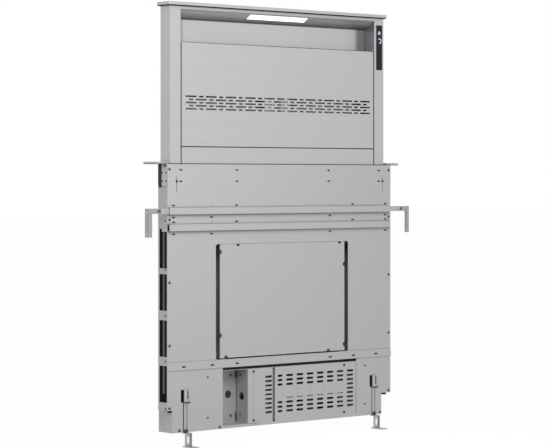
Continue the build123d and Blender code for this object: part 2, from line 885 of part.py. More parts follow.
leg_notch_back = front_inner + 2 * leg_clearance + leg_bar_thickness + 0.6
case_ends = [
    block((outer, inner), (front_inner, back_inner), (-case_end, -shelf_level - housing_sheet))
    for outer, inner in ((-case_left, -case_left + housing_sheet), (case_right, case_right - housing_sheet))
]
save("case_ends", *case_ends)

bottom_pan = block(
    (-case_left + housing_sheet, case_right - housing_sheet),
    (front_inner, back_inner),
    (-case_end, -case_end + housing_sheet),
)
for centre in leg_places:
    bottom_pan = bottom_pan - block(
        (centre - leg_slot_width / 2, centre + leg_slot_width / 2),
        (front_inner - 1, leg_notch_back),
        (-case_end - 1, -case_end + housing_sheet + 1),
    )
save("bottom_pan", bottom_pan)

divider_shelf = block(
    (-web_inner, web_inner), (front_inner, back_inner), (-shelf_level - housing_sheet, -shelf_level)
)
save("divider_shelf", divider_shelf)

# rails and band across the front
rails = []
for centre in (rail_upper_z, rail_lower_z):
    rail = block(
        (-wing_half, wing_half - rail_right_inset),
        (rail_face, front_face),
        (centre - rail_height / 2, centre + rail_height / 2),
    )
    rail = rail - block(
        (-wing_half - 1, wing_half + 1),
        (rail_inner, front_face + 1),
        (centre - rail_height / 2 + rail_sheet, centre + rail_height / 2 - rail_sheet),
    )
    rails.append(rail)
save("front_rails", *rails)

band = block(
    (-wing_half, wing_half), (front_face - band_thickness, front_face), (-band_top - band_height, -band_top)
)
band = chamfer(band.edges().group_by(Axis.Y)[0].filter_by(Axis.X), 0.8)
for place in band_holes:
    band = band - band_slot(place, (front_face - band_thickness - 1, front_face + 1))
save("lower_band", band)

# ---------------------------------------------------------------- electronics tray, covers and contents
tray_back = front_face + tray_depth
tray = block(
    (-bay_left - tray_sheet, bay_right + tray_sheet), (front_inner, tray_back), (-tray_bottom, -tray_top)
)
tray_walls = (-bay_left, -tray_divider, -tray_divider + tray_sheet, bay_right)
for start, end in ((tray_walls[0], tray_walls[1]), (tray_walls[2], tray_walls[3])):
    tray = tray - block(
        (start, end),
        (front_inner - 1, tray_back - tray_sheet),
        (-tray_bottom + tray_sheet, -tray_top - tray_sheet),
    )
tray = tray - rod_x(
    (-tray_divider - 3, -tray_divider + tray_sheet + 3), knockout_depth_place, -knockout_level, knockout_radius
)
tray = tray - rod_y(-back_knockout_place, (tray_back - 3, tray_back + 3), -back_knockout_level, knockout_radius)
tab_slot_height = 18.0
for level in (-tray_top - 12, -tray_bottom + 31):
    tray = tray - block(
        (-tray_divider - 5, -tray_divider - 1.5),
        (tray_back - tray_sheet - 1, tray_back + 1),
        (level - tab_slot_height, level),
    )
save("electronics_tray", tray)

wiring_cover = block(
    (-tray_divider + 0.3, -wiring_cover_end), (front_face, front_inner), (-cover_bottom, -cover_top)
)
wiring_cover = wiring_cover + block(
    (-tray_divider + 0.3, -wiring_step_end),
    (front_face - housing_sheet, front_face),
    (-cover_bottom, -cover_top),
)
vent_cover = block(
    (-vent_cover_start, vent_cover_end), (front_face, front_inner), (-cover_bottom, -cover_top)
)
for place in (-vent_cover_start, vent_cover_end - housing_sheet):
    vent_cover = vent_cover + block(
        (place, place + housing_sheet), (front_face, front_inner + 8), (-cover_bottom + 3, -cover_top - 3)
    )
cover_middle = -louvre_top - (louvre_rows - 1) / 2 * louvre_row_pitch + 4.0
louvre_levels = [-louvre_top - row * louvre_row_pitch for row in range(louvre_rows)]
short_rows = louvre_levels[:louvre_end_rows] + louvre_levels[-louvre_end_rows:]
wiring_louvres = [
    slot_y(louvre_first - 8 * louvre_pitch - 1.3, level, louvre_length, louvre_height, front_cut())
    for level in louvre_levels
]
wiring_cover = wiring_cover - wiring_louvres
save("wiring_cover", wiring_cover)
vent_louvres = [
    slot_y(louvre_first, level, louvre_length, louvre_height, front_cut()) for level in louvre_levels
]
for column in range(1, 7):
    for level in short_rows:
        vent_louvres.append(
            slot_y(louvre_first - column * louvre_pitch, level, louvre_length, louvre_height, front_cut())
        )
for level in short_rows:
    vent_louvres.append(
        slot_y(louvre_first - 7 * louvre_pitch + 3, level, louvre_length * 0.7, louvre_height, front_cut())
    )
vent_cover = vent_cover - vent_louvres
for column in range(5):
    for level in (cover_middle + 8.5, cover_middle - 8.5):
        vent_cover = vent_cover + rod_y(column * 53.6, (front_face - 0.5, front_face), level, 2.2)
save("vent_cover", vent_cover)

tray_floor = tray_back - tray_sheet
board_level = tray_floor - board_standoff
board_x = (-vent_cover_start + board_inset_left, vent_cover_end - board_inset_right)
board_z = (-tray_bottom + board_margin, -tray_top - board_margin)
power_board = block(board_x, (board_level - board_thickness, board_level), board_z)
for x_place in (board_x[0] + board_post_inset, board_x[1] - board_post_inset):
    for z_place in (board_z[0] + board_post_inset, board_z[1] - board_post_inset):
        power_board = power_board + rod_y(x_place, (board_level, tray_floor), z_place, board_post_radius)
board_face = board_level - board_thickness
for x_offset, width, depth, height, z_offset in board_parts:
    x_place = board_x[0] + x_offset
    z_place = -tray_bottom + z_offset
    power_board = power_board + block(
        (x_place, x_place + width),
        (board_face - depth, board_face),
        (z_place - height / 2, z_place + height / 2),
    )
save("power_board", power_board)

capacitor_x = bay_right - capacitor_inset
capacitor_z = (-tray_bottom + capacitor_foot, -tray_bottom + capacitor_foot + capacitor_height)
capacitor = rod_z(capacitor_x, tray_floor - capacitor_radius, capacitor_z, capacitor_radius)
capacitor = chamfer(capacitor.edges().group_by(Axis.Z)[-1], 1.5)
save("motor_capacitor", capacitor)

terminal_start = -tray_divider + tray_sheet + terminal_gap
terminal_z = (-tray_bottom + terminal_foot, -tray_bottom + terminal_foot + terminal_height)
terminals = block(
    (terminal_start, terminal_start + terminal_count * terminal_pitch),
    (tray_floor - terminal_depth, tray_floor),
    terminal_z,
)
for number in range(terminal_count):
    place = terminal_start + (number + 0.5) * terminal_pitch
    screw_y = (tray_floor - terminal_depth - 1, tray_floor - 8)
    terminals = terminals - rod_y(place, screw_y, terminal_z[1] - 6, 3.0)
    terminals = terminals - rod_z(place, tray_floor - 12, (terminal_z[0] - 1, terminal_z[0] + 8), 3.5)
save("terminal_block", terminals)

# ---------------------------------------------------------------- worktop ears, gaskets, strips, seals
for side, name in ((-1, "ear_left"), (1, "ear_right")):
    ear = block(mirrored(side, ear_start, ear_end), (ear_front, ear_back), (gasket_thickness, ear_height))
    ear = fillet(ear.edges().filter_by(Axis.Z), 2.0)
    ear = fillet(ear.edges().group_by(Axis.Z)[-1], 0.8)
    ear = ear - block(
        mirrored(side, ear_start + ear_sheet, ear_end - ear_sheet),
        (ear_front + ear_sheet, ear_back - ear_sheet),
        (gasket_thickness - 1, ear_height - ear_sheet),
    )
    ear_leg = block(
        mirrored(side, wing_half, wing_half + ear_sheet),
        (ear_leg_front, ear_leg_front + ear_leg_depth),
        (-ear_leg_height, ear_height - ear_sheet / 2),
    )
    ear_leg = ear_leg - block(
        mirrored(side, wing_half - 1, wing_half + ear_sheet + 1), relief_y, (-relief_height - 1, -1)
    )
    ear = ear + ear_leg
    save(name, ear)

gasket_start = wing_half + strip_thickness + 0.5
gaskets = [
    block(mirrored(side, gasket_start, ear_end), (ear_front, ear_back), (0, gasket_thickness))
    for side in both_sides
]
save("ear_gaskets", *gaskets)

hold_down_strips = []
strip_front = wing_back - strip_width - 2.0
strip_middle = strip_front + strip_width / 2
strip_end = -strip_height + strip_width / 2
for side in both_sides:
    strip_x = mirrored(side, wing_half, wing_half + strip_thickness)
    strip = block(strip_x, (strip_front, strip_front + strip_width), (strip_end, -1))
    hold_down_strips.append(strip + rod_x(strip_x, strip_middle, strip_end, strip_width / 2))
save("hold_down_strips", *hold_down_strips)

front_seal = block((-door_half, door_half), (front_inner, -seal_gap), (-seal_height, -housing_sheet))
lip_back = -glass_proud - glass_clearance
front_seal = front_seal + block(
    (-half_width, half_width), (lip_back - seal_lip_width, lip_back), (-housing_sheet, seal_lip_height)
)
back_seal = block((-post_inner, post_inner), (chimney_back + seal_gap, back_inner), (-seal_height, 0))
seals = [front_seal, back_seal]
for side in both_sides:
    seals.append(
        block(
            mirrored(side, half_width + seal_gap, half_width + chimney_side_clearance),
            (chimney_back - 11, chimney_back - 1),
            (-seal_height, seal_lip_height),
        )
    )
save("wiper_seals", *seals)

# ---------------------------------------------------------------- telescopic slides
outer_members = []
inner_members = []
outer_y = (-slide_front, -slide_front + slide_outer_width)
middle_y = (outer_y[0] + slide_wall + slide_gap, outer_y[1] - slide_wall - slide_gap)
inner_y = (middle_y[0] + slide_wall + slide_gap, middle_y[1] - slide_wall - slide_gap)
outer_web = wing_inner
middle_web = outer_web - slide_wall - slide_gap
inner_web = middle_web - slide_wall - slide_gap
slide_edge = web_outer + 1.0


def slide_member(side, web, y_range, edge, z_range):
    """A C-section rail that opens towards the chimney."""
    member = block(mirrored(side, edge, web), y_range, z_range)
    return member - block(
        mirrored(side, edge - 1, web - slide_wall),
        (y_range[0] + slide_wall, y_range[1] - slide_wall),
        (z_range[0] - 1, z_range[1] + 1),
    )


strip_start = outer_y[0] + slide_wall + slide_strip_inset
strip_y = (strip_start, strip_start + slide_strip_width)
strip_z = (-slide_strip_bottom, -slide_strip_top)
slide_strips = []
for side, name in ((-1, "slide_middle_left"), (1, "slide_middle_right")):
    outer = slide_member(side, outer_web, outer_y, slide_edge, (-slide_outer_bottom, -slide_outer_top))
    outer = outer - block(mirrored(side, outer_web - slide_wall - 0.2, outer_web + 1), strip_y, strip_z)
    outer_members.append(outer)
    slide_strips.append(block(mirrored(side, outer_web - slide_wall, outer_web), strip_y, strip_z))
    save(name, slide_member(side, middle_web, middle_y, slide_edge, (-slide_middle_bottom, -slide_middle_top)))
    inner = slide_member(side, inner_web, inner_y, slide_edge, (-slide_inner_bottom, -slide_inner_top))
    for start in (-chimney_tail + 5, -slide_inner_top - slide_spacer_height - 5):
        inner = inner + block(
            mirrored(side, half_width, inner_web - slide_wall / 2),
            (inner_y[0] + slide_wall / 2, inner_y[1] - slide_wall / 2),
            (start, start + slide_spacer_height),
        )
    inner_members.append(inner)
save("slide_outers", *outer_members)
save("slide_strips", *slide_strips)
save("slide_inners", *inner_members)

# ---------------------------------------------------------------- front legs
bar_y = (front_inner + leg_clearance, front_inner + leg_clearance + leg_bar_thickness)
channel_top = -case_end - 1.0
foot_front = front_face - foot_length
channel_back = front_face - leg_channel_setout
channel_front = channel_back - leg_channel_depth
for slot_place, name in zip(leg_places, ("leg_left", "leg_right")):
    centre = slot_place + leg_bar_offset
    bar_x = (centre - leg_bar_width / 2, centre + leg_bar_width / 2)
    leg = block(bar_x, bar_y, (channel_top - leg_channel_wall, -leg_bar_top))
    channel_x = (centre - leg_channel_width / 2, centre + leg_channel_width / 2)
    leg = leg + block(channel_x, (channel_front, bar_y[1]), (channel_top - leg_channel_wall, channel_top))
    channel_z = (-foot_level + foot_thickness, channel_top)
    leg = leg + block(channel_x, (channel_back - leg_channel_wall, channel_back), channel_z)
    for flange_side in both_sides:
        edge = centre + flange_side * leg_channel_width / 2
        leg = leg + block(
            (edge, edge - flange_side * leg_channel_wall), (channel_front, channel_back), channel_z
        )
    leg = leg - slot_upright(
        centre,
        channel_top - leg_eye_drop,
        leg_eye_width,
        leg_eye_height,
        (channel_back - leg_channel_wall - 1, channel_back + 1),
    )
    leg = leg + block(
        (centre - foot_width / 2, centre + foot_width / 2),
        (foot_front, front_face),
        (-foot_level, -foot_level + foot_thickness),
    )
    bolt = rod_y(centre, (bar_y[0] - leg_bolt_length, bar_y[0]), -leg_bolt_level, leg_bolt_radius)
    leg = leg + bolt
    save(name, leg)

guides = []
for slot_place in leg_places:
    centre = slot_place + leg_bar_offset
    for level in (-leg_window_bottom - guide_upper_gap, -case_end + guide_lower_gap):
        guide = block(
            (centre - guide_width / 2, centre + guide_width / 2),
            (front_inner, bar_y[1] + leg_clearance + guide_wall),
            (level - guide_height / 2, level + guide_height / 2),
        )
        guide = guide - block(
            (centre - leg_bar_width / 2 - leg_clearance, centre + leg_bar_width / 2 + leg_clearance),
            (front_inner - 1, bar_y[1] + leg_clearance),
            (level - guide_height, level + guide_height),
        )
        guides.append(guide)
save("leg_guides", *guides)

# ---------------------------------------------------------------- side arms in the upper rail
tongue_y = (rail_inner + arm_clearance, front_face - arm_clearance)
tongue_half = rail_height / 2 - rail_sheet - arm_clearance
bracket_y = (tongue_y[0] + arm_wall, tongue_y[0] + arm_wall + arm_bracket_thickness)
arm_z = rail_upper_z
for side, word in ((-1, "left"), (1, "right")):
    tongue = block(
        mirrored(side, arm_tongue_start, arm_tongue_end), tongue_y, (arm_z - tongue_half, arm_z + tongue_half)
    )
    tongue = tongue - block(
        mirrored(side, arm_tongue_start - 1, arm_tongue_end + 1),
        (tongue_y[0] + arm_wall, tongue_y[1] + 1),
        (arm_z - tongue_half + arm_wall, arm_z + tongue_half - arm_wall),
    )
    arm_top = arm_z + arm_bracket_height / 2
    bar = block(mirrored(side, arm_tongue_end, arm_reach), bracket_y, (arm_top - arm_bracket_height, arm_top))
    bar = bar + block(
        mirrored(side, arm_tongue_end - arm_bracket_overlap, arm_tongue_end),
        bracket_y,
        (arm_z - tongue_half + arm_wall, arm_z + tongue_half - arm_wall),
    )
    web = block(
        mirrored(side, arm_reach - arm_leg_width, arm_reach), bracket_y, (arm_top - arm_leg_length, arm_top)
    )
    flange = block(
        mirrored(side, arm_reach - arm_wall, arm_reach),
        (bracket_y[0], bracket_y[0] + arm_flange_depth),
        (arm_top - arm_leg_length, arm_top),
    )
    flange_middle = bracket_y[0] + arm_flange_depth / 2 + 1.5
    leg_middle = arm_top - arm_leg_length / 2
    for z_side in both_sides:
        flange = flange - rod_x(
            mirrored(side, arm_reach - 5, arm_reach + 5),
            flange_middle,
            leg_middle + z_side * arm_hole_spacing / 2,
            arm_hole_radius,
        )
    screw = rod_y(
        side * (arm_reach - arm_screw_place), (bracket_y[0] - pan_head_height, bracket_y[0]), arm_z, 3.0
    )
    save(f"arm_tongue_{word}", tongue)
    save(f"arm_bracket_{word}", bar + web + flange, screw)

# ---------------------------------------------------------------- fasteners
front_screws = []
for side in both_sides:
    edge = side * (wing_half - edge_screw_inset)
    for level in (corner_screw_level, apron_height - seam_screw_gap, *edge_screw_levels):
        front_screws.append(pan_screw_front(edge, -level, front_face))
    front_screws.append(pan_screw_front(side * slit_place, -slit_level, front_face))
for place in cover_screw_places:
    face = front_face - housing_sheet if place < 0 else front_face
    for level in (cover_top + cover_screw_inset, cover_bottom - cover_screw_inset):
        front_screws.append(pan_screw_front(place, -level, face))
for place in (-case_left + case_screw_left, -case_screw_middle, case_right - case_screw_right):
    front_screws.append(pan_screw_front(place, -case_end + case_screw_inset, front_face))
notch_inset = notch_radius - pan_head_radius - 0.4
for side, levels in ((-1, left_notch_levels), (1, right_notch_levels)):
    for level in levels:
        front_screws.append(pan_screw_front(side * (access_half_width - notch_inset), -level, front_inner))
for place in top_notch_places:
    front_screws.append(pan_screw_front(place, -access_top - notch_inset, front_inner))
for place in bottom_notch_places:
    front_screws.append(pan_screw_front(place, -access_bottom + notch_inset, front_inner))
for level in bay_screw_levels:
    front_screws.append(pan_screw_front(-bay_screw_place, -level, tray_back - tray_sheet))
save("front_screws", *front_screws)

side_screws = []
ear_screw_face = wing_half + ear_sheet
for side in both_sides:
    for y_number in range(2):
        for z_number in range(2):
            side_screws.append(
                rod_x(
                    mirrored(side, ear_screw_face, ear_screw_face + screw_cap),
                    ear_leg_front + ear_screw_inset + y_number * ear_screw_spacing_y,
                    -ear_screw_drop - z_number * ear_screw_spacing_z,
                    small_head_radius,
                )
            )
    for level in [seam] + [-top + 13.0 for top in window_tops[1:]] + [-wing_end + 5.0]:
        side_screws.append(
            rod_x(mirrored(side, wing_half, wing_half + screw_cap), front_face + 9.0, level, small_head_radius)
        )
    strip_face = wing_half + strip_thickness
    side_screws.append(
        rod_x(mirrored(side, strip_face, strip_face + screw_cap), strip_middle, strip_end, strip_width / 4)
    )
for level in bay_screw_levels:
    side_screws.append(
        rod_x((-tray_divider - screw_cap, -tray_divider), bay_screw_depth, -level, small_head_radius)
    )
save("side_screws", *side_screws)

# ---------------------------------------------------------------- limit switches on the back panel
switch_x = (switch_place - switch_length / 2, switch_place + switch_length / 2)
switch_y = (back_inner - switch_depth, back_inner)
limit_switches = [
    block(switch_x, switch_y, (level - switch_height / 2, level + switch_height / 2))
    for level in (-chimney_tail - switch_upper_gap, -shelf_level + switch_lower_gap)
]
save("limit_switches", *limit_switches)

print("chimney travel", round(travel, 2), "lift screw length", round(-screw_top - screw_bottom, 2))
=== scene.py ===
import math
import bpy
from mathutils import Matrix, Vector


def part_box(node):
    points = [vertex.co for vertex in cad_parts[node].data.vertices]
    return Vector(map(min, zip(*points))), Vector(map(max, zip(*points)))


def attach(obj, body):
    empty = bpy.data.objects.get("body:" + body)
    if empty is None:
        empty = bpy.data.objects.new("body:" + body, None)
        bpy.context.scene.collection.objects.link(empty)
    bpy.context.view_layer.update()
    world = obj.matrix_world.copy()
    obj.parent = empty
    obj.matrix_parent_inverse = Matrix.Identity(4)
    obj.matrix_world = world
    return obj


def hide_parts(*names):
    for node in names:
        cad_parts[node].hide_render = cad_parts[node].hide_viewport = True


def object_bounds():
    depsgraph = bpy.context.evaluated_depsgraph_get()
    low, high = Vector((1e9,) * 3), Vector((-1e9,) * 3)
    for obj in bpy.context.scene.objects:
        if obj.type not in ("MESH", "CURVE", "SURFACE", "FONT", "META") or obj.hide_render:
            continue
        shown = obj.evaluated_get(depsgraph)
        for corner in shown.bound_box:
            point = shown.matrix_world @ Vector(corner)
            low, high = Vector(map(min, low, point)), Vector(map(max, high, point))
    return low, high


bl_info = {
    "name": "Pop-up downdraft vent",
    "version": (1, 0, 0),
    "blender": (4, 5, 0),
    "location": "View3D > Sidebar > Downdraft vent",
    "description": "Dresses the frame of a pop-up downdraft vent with finishes and fittings",
    "category": "Object",
}

import bpy
from bpy.props import FloatProperty, FloatVectorProperty, PointerProperty
from bpy.types import Operator, Panel, PropertyGroup
from mathutils import Vector

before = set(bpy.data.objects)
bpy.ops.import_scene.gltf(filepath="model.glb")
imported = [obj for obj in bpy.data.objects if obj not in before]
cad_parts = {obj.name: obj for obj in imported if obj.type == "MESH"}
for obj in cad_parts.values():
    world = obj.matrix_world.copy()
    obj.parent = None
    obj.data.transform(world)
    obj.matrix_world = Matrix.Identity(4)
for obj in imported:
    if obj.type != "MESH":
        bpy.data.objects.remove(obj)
CAD_BOX = [list(corner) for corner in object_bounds()]

# camera and lamp; the focal length and the horizon are in pixels of the photograph
PHOTO_WIDTH = 552
FOCAL_PIXELS = 2172.4
HORIZON_RISE = 44.3
SENSOR_WIDTH = 36
CAMERA_PLACE = (-4.1197, -4.8867, -0.044)
CAMERA_TURN = -40
LAMP_PLACE = (-0.95, -1.65, 1.0)
LAMP_SIZE = 1.2
VENT_MIDDLE = Vector((0, 0, -0.17))

# in metres: light lens and touch control, each mark with its X and Z
LENS_SLOPE = math.atan2(0.026, 0.043)
LENS_THICKNESS = 0.002
LIGHT_MARK = (0.3925, 0.404)
POWER_MARK = (0.3934, 0.3796)
POWER_MARK_CUT = 0.3909

# lift drive: Y of the shaft, height of the case
SHAFT_DEPTH = 0.022
GEAR_CASE_HEIGHT = 0.042

# legs: Y and Z of the clamp knobs, X of the windows, ends of the hoods
KNOB_DEPTH = -0.0150
KNOB_LEVEL = -0.7545
LEG_WINDOWS = (-0.3648, 0.3575)
HOOD_ENDS = (-0.674, -0.6385)

# side arms, lower rail and wings: reach is the distance from the centre line
ARM_SCREW_REACH = 0.464
ARM_SCREW_LEVEL = -0.1325
LOWER_RAIL_LEVEL = -0.1795
RAIL_PLUG_HALF = 0.0105
RAIL_PLUG_BACK = -0.0121
BUMPER_REACH = 0.410
BUMPER_DEPTH = -0.001

# junction bay and covers
KNOCKOUT_PLACE = (-0.168, 0.0398, -0.6675)
BAY_CORNER = (-0.1364, 0.0398)
BAY_TAB_LEVELS = (-0.606, -0.738)
BAY_BEAD_ENDS = (-0.752, -0.592)
COVER_SLIT_START = 0.262
COVER_SLIT_PITCH = 0.0398
COVER_SLIT_LEVEL = -0.684
WIRING_FOLD = (-0.1150, -0.1144)

# back: duct outlet and screws
OUTLET_HALF_WIDTH = 0.127
OUTLET_HALF_HEIGHT = 0.0415
OUTLET_LEVEL = -0.330
OUTLET_RIM = 0.018
OUTLET_SCREW_REACH = 0.139
OUTLET_SCREW_LEVELS = (OUTLET_LEVEL - 0.030, OUTLET_LEVEL + 0.030)
BACK_SCREW_REACH = 0.392
BACK_SCREW_LEVELS = (-0.020, -0.160, -0.300, -0.440, -0.580, -0.740)
BACK_SCREW_COLUMNS = (-0.26, -0.13, 0, 0.13, 0.26)
BACK_SCREW_ROWS = (-0.012, -0.748)

# which CAD nodes take which finish
SHEET_NODES = {
    "brushed_stainless": (
        "cap", "lower_panel", "door_panel",
    ),
    # the posts and the back sheet take stainless with painted shade, darker in the intake recess
    "post_stainless_painted_shade": ("post_left", "post_right"),
    "back_stainless_painted_shade": ("back_sheet",),
    # the header takes stainless with a painted highlight and painted shade along its slope
    "header_sheet_painted_shade": ("header",),
    "satin_sheet": (
        "front_sheet", "upper_apron", "access_plate", "side_channel_left", "side_channel_right",
        "back_panel", "lower_front", "case_ends", "bottom_pan", "front_rails", "lower_band",
        "wiring_cover", "vent_cover",
    ),
    "inner_sheet": ("divider_shelf", "electronics_tray"),
    "arm_zinc": ("arm_bracket_left", "arm_bracket_right"),
    # the access frame takes a dark finish, painted shade behind the slots of the front
    "opening_steel_painted_shade": ("access_frame",),
    "zinc_plate": (
        "ear_left", "ear_right", "arm_tongue_left", "arm_tongue_right", "leg_left", "leg_right",
        "filter_ledges", "crosshead", "motor_bracket", "door_hinge_pins",
    ),
    # the slide strips take zinc darkened as painted shade inside the side windows
    "dull_zinc_painted_shade": ("slide_strips",),
    "black_steel": (
        "slide_outers", "slide_middle_left", "slide_middle_right", "slide_inners",
    ),
    "black_rubber": ("ear_gaskets", "wiper_seals"),
    "black_plastic": ("door_catches", "limit_switches", "leg_guides"),
    "circuit_board": ("led_board", "touch_board"),
    "bronze": ("lift_nut",),
}


# ---------------------------------------------------------------- sizes and colours
class VentSizes(PropertyGroup):
    """Sizes of the fittings that the frame leaves plain."""

    screw_recess: FloatProperty(
        name="Screw recess", description="Depth of a screw's cross, as a share of the head",
        default=0.55, min=0.1, max=0.9, subtype="FACTOR",
    )
    glass_bevel: FloatProperty(
        name="Glass bevel", description="Polished edge of the touch control",
        default=0.0005, min=0.0001, max=0.001, unit="LENGTH",
    )
    lens_bevel: FloatProperty(
        name="Lens bevel", description="Rounded edge of the light lens",
        default=0.0006, min=0.0001, max=0.0009, unit="LENGTH",
    )
    mesh_pitch: FloatProperty(
        name="Filter mesh pitch", description="Distance between the strands of the grease mesh",
        default=0.006, min=0.003, max=0.02, unit="LENGTH",
    )
    screw_lead: FloatProperty(
        name="Lift screw lead", description="Rise of the lift screw's thread in one turn",
        default=0.010, min=0.004, max=0.02, unit="LENGTH",
    )
    rib_pitch: FloatProperty(
        name="Strip rib pitch", description="Distance between the ribs of the hold-down strips",
        default=0.006, min=0.002, max=0.02, unit="LENGTH",
    )


class VentColours(PropertyGroup):
    """Colours and light levels of the vent and its stage."""

    stainless: FloatVectorProperty(
        name="Stainless", description="Brushed stainless sheet of the chimney",
        default=(0.515, 0.515, 0.512), size=3, min=0, max=1, subtype="COLOR",
    )
    housing: FloatVectorProperty(
        name="Housing", description="Satin sheet of the housing",
        default=(0.49, 0.498, 0.495), size=3, min=0, max=1, subtype="COLOR",
    )
    glass: FloatVectorProperty(
        name="Glass", description="Black glass of the touch control",
        default=(0.006, 0.007, 0.009), size=3, min=0, max=1, subtype="COLOR",
    )
    lens_light: FloatProperty(
        name="Lens light", description="How brightly the light lens glows",
        default=1.15, min=0, max=10,
    )
    key_power: FloatProperty(
        name="Key lamp", description="Power of the large soft lamp in front",
        default=38, min=0, max=1000, unit="POWER",
    )
    sky_level: FloatProperty(
        name="Sky level", description="Light that reaches matt surfaces from all round",
        default=0.39, min=0, max=2,
    )


# ---------------------------------------------------------------- modelling helpers
def deselect():
    """Leave nothing selected, in object mode."""
    if bpy.context.object and bpy.context.object.mode != "OBJECT":
        bpy.ops.object.mode_set(mode="OBJECT")
    bpy.ops.object.select_all(action="DESELECT")


def activate(piece):
    """Select one piece alone and make it active."""
    deselect()
    piece.select_set(True)
    bpy.context.view_layer.objects.active = piece


def settle(piece):
    """Put a piece's place, turn and size into its mesh."""
    activate(piece)
    bpy.ops.object.transform_apply(location=True, rotation=True, scale=True)


def add_block(name, corner, opposite, turn=(0, 0, 0)):
    """A box between two corners, turned about its own centre."""
    low = Vector([min(pair) for pair in zip(corner, opposite)])
    high = Vector([max(pair) for pair in zip(corner, opposite)])
    deselect()
    bpy.ops.mesh.primitive_cube_add(
        size=1, location=(low + high) / 2, rotation=turn, scale=high - low
    )
    piece = bpy.context.object
    piece.name = name
    settle(piece)
    return piece


AXIS_TURN = {"X": (0, math.pi / 2, 0), "Y": (math.pi / 2, 0, 0), "Z": (0, 0, 0)}


def add_rod(name, centre, radius, length, axis, sides=32):
    """A round bar along one axis."""
    deselect()
    bpy.ops.mesh.primitive_cylinder_add(
        vertices=sides, radius=radius, depth=length, location=centre, rotation=AXIS_TURN[axis]
    )
    piece = bpy.context.object
    piece.name = name
    settle(piece)
    return piece


def add_ring(name, centre, radius, thickness, axis, sides=32):
    """A round ring of round wire about one axis."""
    deselect()
    bpy.ops.mesh.primitive_torus_add(
        major_radius=radius, minor_radius=thickness, major_segments=sides, minor_segments=8,
        location=centre, rotation=AXIS_TURN[axis],
    )
    piece = bpy.context.object
    piece.name = name
    settle(piece)
    return piece


def pick_faces(piece, test):
    """Enter edit mode with the faces selected whose centre and normal pass a test."""
    activate(piece)
    bpy.ops.object.mode_set(mode="EDIT")
    bpy.ops.mesh.select_mode(type="FACE")
    bpy.ops.mesh.select_all(action="DESELECT")
    bpy.ops.object.mode_set(mode="OBJECT")
    for face in piece.data.polygons:
        face.select = test(face.center, face.normal)
    bpy.ops.object.mode_set(mode="EDIT")


def pick_edges(piece, test):
    """Enter edit mode with the edges selected whose two ends pass a test."""
    activate(piece)
    bpy.ops.object.mode_set(mode="EDIT")
    bpy.ops.mesh.select_mode(type="EDGE")
    bpy.ops.mesh.select_all(action="DESELECT")
    bpy.ops.object.mode_set(mode="OBJECT")
    points = piece.data.vertices
    for edge in piece.data.edges:
        edge.select = test(points[edge.vertices[0]].co, points[edge.vertices[1]].co)
    bpy.ops.object.mode_set(mode="EDIT")


def pick_all(piece):
    """Enter edit mode with everything selected."""
    activate(piece)
    bpy.ops.object.mode_set(mode="EDIT")
    bpy.ops.mesh.select_all(action="SELECT")


def leave_edit():
    """Go back to object mode."""
    bpy.ops.object.mode_set(mode="OBJECT")


def inset_faces(piece, test, *steps):
    """Inset the faces that pass a test, once for each width and depth."""
    pick_faces(piece, test)
    for width, depth in steps:
        bpy.ops.mesh.inset(thickness=width, depth=depth)
    leave_edit()


def bevel_edges(piece, test, offset, segments):
    """Round the edges that pass a test."""
    pick_edges(piece, test)
    bpy.ops.mesh.bevel(offset=offset, segments=segments)
    leave_edit()


def slice_off(piece, point, outward, filled=False):
    """Cut a piece at a plane and drop what lies beyond it."""
    pick_all(piece)
    bpy.ops.mesh.bisect(plane_co=point, plane_no=outward, clear_outer=True, use_fill=filled)
    leave_edit()


# which way a face looks, for pick_faces
def faces_front(centre, normal):
    """Whether a face looks to the front."""
    return normal.y < -0.9


def faces_up(centre, normal):
    """Whether a face looks up."""
    return normal.z > 0.9


def faces_down(centre, normal):
    """Whether a face looks down."""
    return normal.z < -0.9


def bevel_all(piece, width, segments=2):
    """Round every edge that turns by more than 30 degrees."""
    activate(piece)
    rounding = piece.modifiers.new("Rounding", "BEVEL")
    rounding.width = width
    rounding.segments = segments
    rounding.limit_method = "ANGLE"
    bpy.ops.object.modifier_apply(modifier=rounding.name)


def cut_away(piece, cutter):
    """Take one piece's volume out of another, and remove the cutter."""
    activate(piece)
    cut = piece.modifiers.new("Cut", "BOOLEAN")
    cut.operation = "DIFFERENCE"
    cut.solver = "EXACT"
    cut.object = cutter
    bpy.ops.object.modifier_apply(modifier=cut.name)
    remove(cutter)


def remove(piece):
    """Delete a helper object."""
    activate(piece)
    bpy.ops.object.delete()


def join(name, pieces):
    """Make several objects one."""
    deselect()
    for piece in pieces:
        piece.select_set(True)
    bpy.context.view_layer.objects.active = pieces[0]
    bpy.ops.object.join()
    joined = bpy.context.object
    joined.name = name
    return joined


def copy_to(piece, place, turn=(0, 0, 0), size=(1, 1, 1)):
    """A copy with its own mesh, moved from the origin to a place."""
    activate(piece)
    bpy.ops.object.duplicate(linked=False)
    twin = bpy.context.object
    twin.location = place
    twin.rotation_euler = turn
    twin.scale = size
    settle(twin)
    return twin


def dress(piece, finish, body, slot, *nodes):
    """Give a finished piece its finish and body, and hide the CAD nodes that it stands for; the
    slot is not used.
    """
    settle(piece)
    bpy.ops.object.shade_smooth_by_angle(angle=math.radians(32))
    if not piece.data.materials:
        piece.data.materials.append(finish_of(finish))
    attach(piece, body)
    if nodes:
        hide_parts(*nodes)
    return piece


